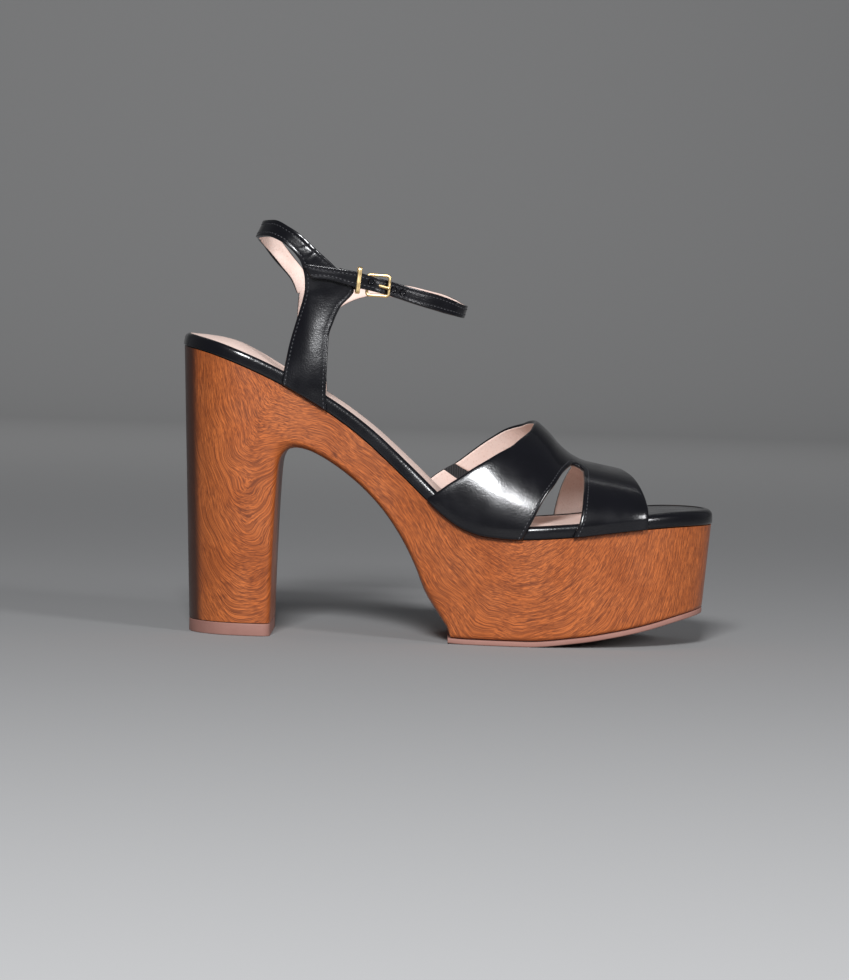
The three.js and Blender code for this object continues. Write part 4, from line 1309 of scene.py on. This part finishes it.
def bed_outline():
    """The footbed's outline in plan, once round from the heel, each place with the way out."""
    end = WOOD_LENGTH / 2 + FOOTBED_OVERHANG - END_SLIVER * SOLE_LENGTH
    stations = bed_stations(
        -end, end, along_to_x(HEEL_ROUND["length"]), along_to_x(1 - TOE_ROUND["length"])
    )
    places = [Vector((x, outline_y(-1, x, FOOTBED_OVERHANG), 0)) for x in stations]
    places += [Vector((x, outline_y(1, x, FOOTBED_OVERHANG), 0)) for x in reversed(stations)]
    ways = []
    for i in range(len(places)):
        ahead = places[(i + 1) % len(places)] - places[i - 1]
        ways.append(Vector((ahead.y, -ahead.x, 0)).normalized())
    return list(zip(places, ways))


def footbed_row(place, way):
    """One row of the footbed at its edge: from the spine underneath round the edge to the spine on top."""
    along = x_to_along(place.x)
    sock_end = SOCK_FRONT["along"]
    bare = smooth_step(along, sock_end - BARE_TOE["before"], sock_end + BARE_TOE["after"])
    toe = smooth_step(along, TOE_PUFF["from"], TOE_PUFF["to"])
    rim = RIM_WIDTH * rim_share(along) - GAP / 2
    width = min(RIM_ROUND, rim) + TOE_PUFF["round"] * toe
    height = FOOTBED_THICKNESS + TOE_PUFF["height"] * toe
    floor_height = height - GAP - SOCK_DEPTH * (1 - bare)
    spine_x = clamp(place.x, -WOOD_LENGTH / 2 + SPINE_INSET, WOOD_LENGTH / 2 - SPINE_INSET)
    row = [on_top(spine_x, 0, BED_GAP)]
    for out, up in rim_profile():
        inward = place - way * width * (1 - out)
        row.append(on_top(inward.x, inward.y, mix(BED_GAP, height, up)))
    rim_end = (rim + SEAT_STEP["toe"] * toe, height)
    seat = [(rim + SEAT_STEP[name], floor_height) for name in ("edge", "floor")]
    for inset, level in [rim_end, *seat]:
        inward = place - way * max(inset, width)
        row.append(on_top(inward.x, inward.y, level))
    row.append(on_top(spine_x, 0, floor_height))
    return row


def build_footbed():
    """The insole board in black leather: a rolled edge all round, puffed up at the toe."""
    rows = [footbed_row(place, way) for place, way in bed_outline()]
    rows.append(rows[0])
    piece, _ = grid_piece("footbed_wrap", rows)
    close_up(piece)
    smooth(piece, 60)
    return finished(piece, ["footbed"], black_leather)


def sock_side(x, side):
    """Half a section of the sock, from its edge up over its cushion to the middle."""
    half = sock_y(side, x, 0)
    wide = min(1, abs(half) / (BALL_WIDTH * HEEL_SHARE))
    crown = SOCK_CROWN * crown_share(x_to_along(x)) * wide
    rounding = SOCK_SECTION["edge_height"] * min(1, abs(half))
    points = [on_top(x, half, FOOTBED_THICKNESS - SOCK_DEPTH + GAP)]
    for t in steps(SOCK_STEPS):
        out = math.cos(math.pi / 2 * t)
        dome = crown * (1 - out ** SOCK_SECTION["dome"])
        edge = rounding * (1 - out ** SOCK_SECTION["edge"])
        points.append(on_top(x, half * out, FOOTBED_THICKNESS - GAP - SOCK_SECTION["sunk"] + dome + edge))
    return points


def build_sock():
    """The sock, cushioned under the heel."""
    back = -WOOD_LENGTH / 2 - FOOTBED_OVERHANG + RIM_WIDTH * rim_share(0)
    stations = bed_stations(
        back + END_SLIVER * SOLE_LENGTH,
        along_to_x(SOCK_FRONT["along"]),
        along_to_x(HEEL_ROUND["length"]),
        along_to_x(SOCK_FRONT["along"] - SOCK_FRONT["round"]),
    )
    rings = [sock_side(x, -1)[:-1] + sock_side(x, 1)[::-1] for x in stations]
    piece = loft("sock", rings)
    smooth(piece, 60)
    finished(piece, ["sock_lining"], pale_leather)


# The vamp


def last_point(along, across):
    """A point of the last over the forefoot: across is 0 at the outer foot of the vamp and 1 at the inner."""
    x = along_to_x(along)
    clear = FOOTBED_OVERHANG + GAP + VAMP_WALL / 2
    outer, inner = abs(outline_y(-1, x, clear)), abs(outline_y(1, x, clear))
    base = top_line(x) + GAP
    height = PLATFORM_HEIGHT + INSTEP_HEIGHT * ridge(along) - VAMP_WALL / 2 - base
    up = height * math.sin(math.pi * across)
    arched = max(0, up - UPRIGHT_HEIGHT) / (height - UPRIGHT_HEIGHT)
    square = clamp((along - ARCH_SQUARE["from"]) / (ARCH_SQUARE["to"] - ARCH_SQUARE["from"]), 0, 1)
    flatness = mix(1, ARCH_SQUARE["power"], square)
    reach = math.copysign(max(0, 1 - arched**2) ** (flatness / 2), 0.5 - across)
    half = mix(outer, inner, (1 - reach) / 2)
    return Vector((x, -half * reach + RIDGE_SHIFT * arched, base + up))


vamp_edges = [column_curve(VAMP_TABLE, "across", name) for name in VAMP_TABLE[0][1:]]
def vamp_row(across):
    """The points of one row across the vamp, from its rear edge to its front edge."""
    rear, window_rear, window_front, front = [edge(across) for edge in vamp_edges]
    away = min(abs(across - top) for top in WINDOW_TOP.values()) / WINDOW_ROUND["across"]
    kept = max(WINDOW_ROUND["least"], math.sqrt(1 - max(0, 1 - away) ** 2))
    middle = (window_rear + window_front) / 2
    window_rear = mix(middle, window_rear, kept)
    window_front = mix(middle, window_front, kept)
    alongs = [mix(rear, window_rear, t) for t in steps(REAR_CELLS)]
    alongs += [mix(window_rear, window_front, t) for t in steps(WINDOW_CELLS)[1:]]
    alongs += [mix(window_front, front, t) for t in steps(FRONT_CELLS)[1:]]
    return [last_point(along, across) for along in alongs]


def spans(stops, counts):
    """Places between stops, with a number of cells in each span."""
    places = [stops[0]]
    for start, end, count in zip(stops, stops[1:], counts):
        places += [mix(start, end, t) for t in steps(count)[1:]]
    return places


vamp_across = spans(
    [0, WINDOW_TOP["outer"], WINDOW_TOP["inner"], GORE_SPAN["from"], GORE_SPAN["to"], 1],
    [ACROSS_CELLS[name] for name in ("outer", "top", "inner", "gore", "foot")],
)
TOP_FROM = ACROSS_CELLS["outer"]
TOP_TO = TOP_FROM + ACROSS_CELLS["top"]
GORE_ROW = TOP_TO + ACROSS_CELLS["inner"]


def in_foot(p):
    """The nearest place inside the foot, under the vamp."""
    return Vector((p.x, 0, PLATFORM_HEIGHT))


def is_window(r, c):
    """Whether a cell of the vamp's grid is cut out for a window."""
    return REAR_CELLS <= c < REAR_CELLS + WINDOW_CELLS and (r < TOP_FROM or r >= TOP_TO)


def is_inner_foot(r, c):
    """Whether a cell lies past the leather's end at the elastic."""
    return r >= GORE_ROW and c < REAR_CELLS


def crease_depth(creases, x, z):
    """How deep the creases lie at a place on the side."""
    deep = 0
    for crease in creases:
        turn = math.radians(crease["turn"])
        dx, dz = x - crease["x"], z - crease["z"]
        along = dx * math.cos(turn) + dz * math.sin(turn)
        aside = dz * math.cos(turn) - dx * math.sin(turn) + CREASE_FORM["bend"] * along * along
        aside /= crease["width"]
        fade = math.exp(-((along / crease["length"]) ** 4))
        trough = math.exp(-(aside**2))
        ridge_beside = CREASE_FORM["ridge"] * math.exp(-((aside - CREASE_FORM["ridge_at"]) ** 2))
        deep += crease["depth"] * fade * (trough - ridge_beside)
    return deep


def vamp_height(r, c, p):
    """Creases, and the edges that turn in a little where the leather is folded over."""
    from_edge = min(c, REAR_CELLS + WINDOW_CELLS + FRONT_CELLS - c)
    turned = FOLDED_EDGE["depth"] * math.exp(-((from_edge / FOLDED_EDGE["spread"]) ** 2))
    strength = 1 if p.y < 0 else INNER_CREASES
    return -crease_depth(VAMP_CREASES, p.x, p.z) * strength - turned


def build_vamp():
    """Both straps of the vamp with their windows, and the inner end below the elastic."""
    rows = [vamp_row(across) for across in vamp_across]
    rows = raised(rows, in_foot, vamp_height)
    both = [black_leather, pale_leather]
    piece = leather_wall(
        "vamp_straps",
        rows,
        VAMP_WALL,
        in_foot,
        both,
        keep=lambda r, c: not is_window(r, c) and not is_inner_foot(r, c),
    )
    finished(piece, ["vamp"])
    foot_rows = [row[: REAR_CELLS + 1] for row in rows[GORE_ROW + ACROSS_CELLS["gore"] :]]
    foot = leather_wall("vamp_inner_end", foot_rows, VAMP_WALL, in_foot, both)
    finished(foot, ["vamp_inner_foot"])
    return rows


def build_gore():
    """The elastic, whose ribs run round the foot."""
    start, end = GORE_SPAN["from"] - GORE["overlap"], GORE_SPAN["to"] + GORE["overlap"]
    rows = [vamp_row(mix(start, end, t))[: REAR_CELLS + 1] for t in steps(GORE_STEPS)]
    rows = raised(rows, in_foot, lambda r, c, p: -GORE["sunk"])
    wall = ELASTIC_WALL * GORE["wall_share"]
    piece = leather_wall("elastic_insert", rows, wall, in_foot, [elastic, elastic])
    return finished(piece, ["elastic_gore"])


# The ankle upper


def ankle_point(along, up, side, outset=0.0):
    """A point of the ankle upper: it stands on the sole's edge and leans in to the ankle loop."""
    x = along_to_x(along)
    z = mix(top_line(x) + GAP, LOOP_TOP, up)
    sole = abs(outline_y(side, x, FOOTBED_OVERHANG + GAP + STRAP_WALL / 2))
    lean = smooth_step(up, LEAN_SPAN["from"], LEAN_SPAN["to"])
    y = mix(sole, loop_half(along) * ANKLE_WIDTH, lean) + outset * TAIL_OUTSET
    return Vector((x, side * y, z))


def band_rows(table, per_row, cells):
    """The rows of a band, each from its left to its right edge, round the heel or the front of the ankle."""
    curve = row_curve(table)
    last = len(table) - 2
    rows = []
    for t in steps(last * per_row):
        row = curve(t * last)
        middle = (row["left_along"] + row["right_along"]) / 2
        line = []
        for s in steps(cells):
            along = mix(row["left_along"], row["right_along"], s)
            up = mix(row["left_up"], row["right_up"], s)
            by_side = ankle_point(along, up, -1 if row["side"] < 0 else 1, row["outset"])
            by_middle = loop_half(middle) * ANKLE_WIDTH * row["side"]
            free = smooth_step(up, FREE_SPAN["from"], FREE_SPAN["to"]) if row["outset"] <= 0 else 0
            turning = 1 if abs(row["side"]) < 1 else free
            by_side.y = mix(by_side.y, by_middle, turning)
            line.append(by_side)
        rows.append(line)
    return rows


def in_ankle(p):
    """The nearest place inside the ankle."""
    return Vector((along_to_x(ANKLE_MIDDLE), 0, p.z))


def edge_relief(rows, beads, creases=()):
    """Soft beads along the edges of a band, the grooves where the stitches lie, and wrinkles."""
    def height(r, c, p):
        row = rows[r]
        width = (row[-1] - row[0]).length
        from_left = c < len(row) / 2
        distance = min(c, len(row) - 1 - c) / (len(row) - 1) * width
        bead = math.exp(-(((distance - EDGE_BEAD["middle"]) / EDGE_BEAD["spread"]) ** 2))
        groove = math.exp(-(((distance - EDGE_BEAD["groove"]) / EDGE_BEAD["narrow"]) ** 2))
        wrinkle = crease_depth(creases, p.x, p.z) if creases else 0
        return bead * beads[0 if from_left else 1] - groove * EDGE_BEAD["depth"] - wrinkle

    return height


def quarter_turn(row, c, p):
    """How far the quarter's surface stands out: its rear edge lies in, its front edge out."""
    if p.y > 0:
        return 0
    share = c / (len(row) - 1) - 0.5
    fade = smooth_step(p.z, *QUARTER_TURN["low"]) * (1 - smooth_step(p.z, *QUARTER_TURN["high"]))
    return QUARTER_TURN["rise"] * fade * (share - QUARTER_TURN["curl"] * share**2)


def build_quarters():
    """The outer quarter and the back strap."""
    rows = band_rows(QUARTER_TABLE, *BAND_STEPS["quarter"])
    relief = edge_relief(rows, BEAD_HEIGHTS["quarter"], STRAP_CREASES)
    rows = raised(rows, in_ankle, lambda r, c, p: relief(r, c, p) + quarter_turn(rows[r], c, p))
    piece = leather_wall("quarter_and_back_strap", rows, STRAP_WALL, in_ankle, [black_leather, pale_leather])
    finished(piece, ["ankle_upper"])
    return rows


def build_ankle_strap():
    """The inner quarter and the long strap round the ankle."""
    rows = band_rows(STRAP_TABLE, *BAND_STEPS["strap"])
    rows = raised(rows, in_ankle, edge_relief(rows, BEAD_HEIGHTS["strap"]))
    piece = leather_wall("ankle_strap", rows, STRAP_WALL, in_ankle, [black_leather, pale_leather])
    finished(piece, ["ankle_upper"])
    return rows


def build_tab():
    """The short tab that holds the buckle."""
    rows = band_rows(TAB_TABLE, *BAND_STEPS["tab"])
    piece = leather_wall("buckle_tab_leather", rows, STRAP_WALL, in_ankle, [black_leather, pale_leather])
    return finished(piece, ["buckle_tab"])


# The fittings


def outer_strap(column):
    """The strap's edges on the outer side, read along the sole."""
    names = STRAP_TABLE[0]
    rows = [row for row in STRAP_TABLE[1:] if row[0] == -1][::-1]
    xs = [row[names.index("right_along")] for row in rows]
    return smooth_curve(xs, [row[names.index(column)] for row in rows])


strap_left, strap_right, strap_outset = [outer_strap(name) for name in ("left_up", "right_up", "outset")]


def strap_line(along):
    """How high the middle of the ankle strap lies on the outer side."""
    return (strap_left(along) + strap_right(along)) / 2


def strap_middle(along):
    """The middle of the ankle strap on the outer side."""
    return ankle_point(along, strap_line(along), -1, strap_outset(along))


def strap_basis(forward, origin):
    """Axes on the outer side of the ankle: along the strap, up across it and out of it."""
    ahead = forward.normalized()
    outward = (Vector((0, -1, 0)) + ahead * ahead.y).normalized()
    up = outward.cross(ahead)
    return Matrix((ahead, up, outward)).transposed().to_4x4(), origin


def rounded_rectangle(width, height, radius, t):
    """A place on a rounded rectangle and the direction out of it, as t runs once round."""
    straight = [height - 2 * radius, width - 2 * radius] * 2
    corner = math.pi * radius / 2
    total = sum(straight) + 4 * corner
    left = (t % 1) * total
    turn = 0.0
    centre = Vector((width / 2 - radius, -height / 2 + radius))
    for run in straight:
        ahead = Vector((-math.sin(turn), math.cos(turn)))
        out = Vector((math.cos(turn), math.sin(turn)))
        if left <= run:
            return centre + out * radius + ahead * left, out
        left -= run
        centre += ahead * run
        if left <= corner:
            angle = turn + left / radius
            out = Vector((math.cos(angle), math.sin(angle)))
            return centre + out * radius, out
        left -= corner
        turn += math.pi / 2
    return centre, Vector((1, 0))


def ring_piece(name, basis, width, height, wall, depth, form):
    """A closed ring from a torus: its middle line is a rounded rectangle, its section a soft square."""
    turned, origin = basis
    ring_radius, tube_radius = 2.0, 0.5
    deselect_all()
    bpy.ops.mesh.primitive_torus_add(
        major_segments=RING_STEPS["round"],
        minor_segments=RING_STEPS["section"],
        major_radius=ring_radius,
        minor_radius=tube_radius,
        generate_uvs=False,
    )
    piece = added(name)
    square = form["square"]
    for corner in piece.data.vertices:
        flat = math.hypot(corner.co.x, corner.co.y)
        t = math.atan2(corner.co.y, corner.co.x) / (2 * math.pi) % 1
        a, b = (flat - ring_radius) / tube_radius, corner.co.z / tube_radius
        reach = (abs(a) ** square + abs(b) ** square) ** (1 / square)
        place, out = rounded_rectangle(width, height, form["corner"], t)
        place = place + out * a / reach * wall / 2
        corner.co = (turned @ Vector((place.x, place.y, b / reach * depth / 2)) + origin) * MM
    edit_all(piece, turn_out)
    smooth(piece, 50)
    return piece


def buckle_bars():
    """The middles of the buckle's inner bar, in the tab, and of its outer bar, over the strap."""
    inner = ankle_point(BUCKLE_ALONG, strap_line(BUCKLE_ALONG), -1)
    outer = strap_middle(BUCKLE_ALONG + (BUCKLE_LENGTH - BUCKLE_WIRE) / SOLE_LENGTH)
    outer.y -= STRAP_WALL / 2 + 3 * GAP + BUCKLE_WIRE / 2
    return inner, outer


def build_buckle():
    """The buckle's ring, a rounded rectangle that hangs nearly level."""
    inner, outer = buckle_bars()
    ahead = outer - inner
    ahead.z *= BUCKLE_LEVEL
    piece = ring_piece(
        "buckle_ring",
        strap_basis(ahead, inner.lerp(outer, 0.5)),
        width=BUCKLE_LENGTH - BUCKLE_WIRE,
        height=BUCKLE_HEIGHT - BUCKLE_WIRE,
        wall=BUCKLE_WIRE,
        depth=BUCKLE_WIRE,
        form=BUCKLE_FORM,
    )
    finished(piece, ["buckle_frame"], gold)


def build_prong():
    """The prong: a slim bar that widens to its root and lies on the outer bar with a rounded tip."""
    inner, outer = buckle_bars()
    root = inner.lerp(outer, (BUCKLE_WIRE / 2 + GAP) / (BUCKLE_LENGTH - BUCKLE_WIRE))
    tip = outer.copy()
    tip.y -= BUCKLE_WIRE / 2 + GAP + PRONG_RADIUS
    turned, _ = strap_basis(tip - root, root)
    length = (tip - root).length
    deselect_all()
    bpy.ops.mesh.primitive_cylinder_add(vertices=20, radius=1, depth=2)
    piece = added("prong")
    edit_all(piece, lambda: bpy.ops.mesh.bevel(offset=0.35, segments=4, affect="EDGES"))
    for corner in piece.data.vertices:
        share = (corner.co.z + 1) / 2
        radius = PRONG_RADIUS * mix(1.0, PRONG_FORM["taper"], share)
        wide = corner.co.x * radius * PRONG_FORM["wide"]
        high = corner.co.y * radius * PRONG_FORM["high"]
        corner.co = (turned @ Vector((share * length, wide, high)) + root) * MM
    edit_all(piece, turn_out)
    smooth(piece, 50)
    finished(piece, ["buckle_prong"], gold)


def build_keeper():
    """The keeper, a flat band bent round both layers of the strap."""
    half = loop_half(KEEPER_ALONG) * ANKLE_WIDTH
    inner = half - STRAP_WALL / 2 - GAP - KEEPER_WALL
    outer = half + TAIL_OUTSET + STRAP_WALL / 2 + GAP + KEEPER_WALL
    centre = strap_middle(KEEPER_ALONG)
    centre.y = -(inner + outer) / 2
    forward = strap_middle(KEEPER_ALONG + 0.01) - strap_middle(KEEPER_ALONG - 0.01)
    forward.z *= KEEPER_LEVEL
    turned, _ = strap_basis(forward, centre)
    piece = ring_piece(
        "keeper",
        (turned @ Matrix.Rotation(math.pi / 2, 4, "Y"), centre),
        width=outer - inner - KEEPER_WALL,
        height=KEEPER_HEIGHT - KEEPER_WALL,
        wall=KEEPER_WALL,
        depth=KEEPER_WIDTH,
        form=KEEPER_FORM,
    )
    finished(piece, ["keeper_loop"], gold)


# Stitches

def edge_line(rows, distance, from_right, thickness, inside, start=0, end=None):
    """A line on the outer face of a band, at a distance from its left or right edge."""
    line = []
    for r in range(start, len(rows) if end is None else end):
        row = rows[r] if not from_right else rows[r][::-1]
        run, c = 0.0, 0
        while c < len(row) - 2 and run + (row[c + 1] - row[c]).length < distance:
            run += (row[c + 1] - row[c]).length
            c += 1
        share = (distance - run) / (row[c + 1] - row[c]).length
        place = row[c].lerp(row[c + 1], share)
        column = c if not from_right else len(row) - 1 - c
        normal = grid_normal(rows, r, column, inside)
        line.append((place + normal * thickness / 2, normal))
    return line


def stitch_places(line):
    """Even places along a line, each with the way ahead and the way out."""
    places = []
    wanted, run = STITCH["pitch"] / 2, 0.0
    for (a, normal), (b, _) in zip(line, line[1:]):
        step = (b - a).length
        while step > 0 and wanted <= run + step:
            places.append((a.lerp(b, (wanted - run) / step), (b - a).normalized(), normal))
            wanted += STITCH["pitch"]
        run += step
    return places


def stitch_shape():
    """The first stitch: a short thread with bevelled edges."""
    deselect_all()
    bpy.ops.mesh.primitive_cylinder_add(vertices=6, radius=1, depth=2)
    piece = added("stitch_shape")
    edit_all(piece, lambda: bpy.ops.mesh.bevel(offset=0.45, segments=1, affect="EDGES"))
    return piece


def stitch_copy(first, place, ahead, out):
    """A copy of the first stitch, laid along a seam, which dips at both ends."""
    stitch = first.copy()
    stitch.data = first.data.copy()
    bpy.context.scene.collection.objects.link(stitch)
    along, aside = ahead * STITCH["length"] / 2, ahead.cross(out) * STITCH["radius"]
    for corner in stitch.data.vertices:
        x, y, z = corner.co
        high = y * STITCH["radius"] + STITCH["proud"] - STITCH["dip"] * z * z
        corner.co = (place + along * z + aside * x + out * high) * MM
    return stitch


def build_stitches(name, lines):
    """All the stitches of some lines: one stitch, copied and joined."""
    first = stitch_shape()
    copies = [stitch_copy(first, *place) for line in lines for place in stitch_places(line)]
    bpy.data.objects.remove(first)
    deselect_all()
    for stitch in copies:
        stitch.select_set(True)
    bpy.context.view_layer.objects.active = copies[0]
    bpy.ops.object.join()
    piece = added(name)
    edit_all(piece, turn_out)
    smooth(piece, 60)
    finished(piece, [], thread)


def on_strap(along, share):
    """A place on the outer face of the ankle strap's near side, with the way out of it."""
    def middle(at, across):
        return ankle_point(at, mix(strap_left(at), strap_right(at), across), -1, strap_outset(at))

    place = middle(along, share)
    ahead = middle(along + 0.003, share) - middle(along - 0.003, share)
    down = middle(along, share + 0.05) - middle(along, share - 0.05)
    out = ahead.cross(down).normalized()
    out = out if out.y < 0 else -out
    return place + out * STRAP_WALL / 2, ahead.normalized(), out


def inset_rings():
    """Insets the selected face again and again, ring within ring."""
    for _ in range(HOLE_RINGS["count"]):
        bpy.ops.mesh.inset(thickness=HOLE_RINGS["width"])


def build_holes():
    """Each hole's pressed rim, a small raised ring with a hollow in it."""
    for k, (along, share) in enumerate(HOLES):
        place, ahead, out = on_strap(along, share)
        up = out.cross(ahead)
        deselect_all()
        bpy.ops.mesh.primitive_circle_add(vertices=32, radius=1, fill_type="NGON")
        piece = added(f"strap_hole_{k + 1}")
        edit_all(piece, inset_rings)
        for corner in piece.data.vertices:
            flat = math.hypot(corner.co.x, corner.co.y)
            rim = math.exp(-(((flat - HOLE["lip"]) / HOLE["lip_width"]) ** 2))
            high = HOLE["lift"] + HOLE["lip_height"] * rim
            aside = (ahead * corner.co.x + up * corner.co.y) * HOLE["radius"]
            corner.co = (place + aside + out * high) * MM
        smooth(piece, 60)
        finished(piece, [], black_leather)


def vamp_lines(rows):
    """The stitched edges of the windows, on both sides of the foot."""
    rear_strap = [row[: REAR_CELLS + 1] for row in rows]
    front_strap = [row[REAR_CELLS + WINDOW_CELLS :] for row in rows]
    outer = (0, TOP_FROM + VAMP_SEAM["past"])
    inner = TOP_TO - VAMP_SEAM["past"]
    lines = []
    for start, end in (outer, (inner, GORE_ROW)):
        lines.append(edge_line(rear_strap, VAMP_SEAM["rear"], True, VAMP_WALL, in_foot, start, end))
    for start, end in (outer, (inner, len(rows))):
        lines.append(edge_line(front_strap, VAMP_SEAM["front"], False, VAMP_WALL, in_foot, start, end))
    return lines


def band_lines(rows):
    """The stitched lines along both edges of a band."""
    inset = EDGE_BEAD["groove"]
    return [edge_line(rows, inset, right, STRAP_WALL, in_ankle) for right in (False, True)]


# The stage


def build_floor():
    """A plain pale floor that curves up into a plain wall far behind."""
    depth, radius, half = FLOOR["depth"], FLOOR["radius"], FLOOR["width"] / 2
    profile = [(FLOOR["near"], 0), (0, 0)]
    for t in steps(16):
        angle = math.pi / 2 * t
        profile.append((depth + radius * math.sin(angle), radius * (1 - math.cos(angle))))
    profile.append((depth + radius, FLOOR["top"]))
    rows = [[Vector((x, y, z)) / MM for x in (-half, half)] for y, z in profile]
    piece, _ = grid_piece("studio_floor", rows)
    material, _, shader = start_material("pale floor", Roughness=0.9, Specular_IOR_Level=0.1)
    shader.inputs["Base Color"].default_value = (*[FLOOR["grey"]] * 3, 1)
    piece.data.materials.append(material)
    smooth(piece, 60)


def add_light(name, place, target, size, power, colour):
    """A soft rectangular light that points at its target."""
    light = bpy.data.lights.new(name, "AREA")
    light.shape = "RECTANGLE"
    light.size, light.size_y = size
    light.energy = power
    light.color = colour
    lamp = bpy.data.objects.new(name, light)
    bpy.context.scene.collection.objects.link(lamp)
    lamp.location = place
    lamp.rotation_euler = (Vector(target) - Vector(place)).to_track_quat("-Z", "Y").to_euler()


def build_lights():
    """The studio's soft lights and its even air."""
    for name, values in LIGHTS.items():
        add_light(name, *values)
    world = bpy.data.worlds.new("studio air")
    world.use_nodes = True
    background = world.node_tree.nodes["Background"].inputs
    background["Color"].default_value = AIR["colour"]
    background["Strength"].default_value = AIR["strength"]
    bpy.context.scene.world = world
    bpy.context.scene.view_settings.view_transform = "Standard"


def build_camera():
    """The photograph's view: nearly level, far off, and rolled a little."""
    elevation, roll = math.radians(VIEW["elevation"]), math.radians(VIEW["roll"])
    up = Vector((0, math.sin(elevation), math.cos(elevation)))
    backward = Vector((0, -math.cos(elevation), math.sin(elevation)))
    right = Vector((1, 0, 0))
    rolled_right = right * math.cos(roll) + up * math.sin(roll)
    rolled_up = up * math.cos(roll) - right * math.sin(roll)
    camera = bpy.data.objects.new("camera", bpy.data.cameras.new("camera"))
    camera.data.sensor_fit = "HORIZONTAL"
    camera.data.sensor_width = LENS["sensor"]
    camera.data.lens = VIEW["distance"] / LENS["pixel"] * LENS["sensor"] / LENS["pixels"]
    place = (Vector(VIEW["target"]) + backward * VIEW["distance"]) * MM
    turned = Matrix((rolled_right, rolled_up, backward)).transposed().to_4x4()
    camera.matrix_world = Matrix.Translation(place) @ turned
    bpy.context.scene.collection.objects.link(camera)
    bpy.context.scene.camera = camera


build_wood()
build_lift()
build_outsole()
build_footbed()
build_sock()
vamp_points = build_vamp()
build_gore()
quarter_points = build_quarters()
strap_points = build_ankle_strap()
build_tab()
build_buckle()
build_prong()
build_keeper()
build_holes()
build_stitches("vamp_stitches", vamp_lines(vamp_points))
build_stitches("quarter_stitches", band_lines(quarter_points))
build_stitches("strap_stitches", band_lines(strap_points))
build_floor()
build_lights()
build_camera()
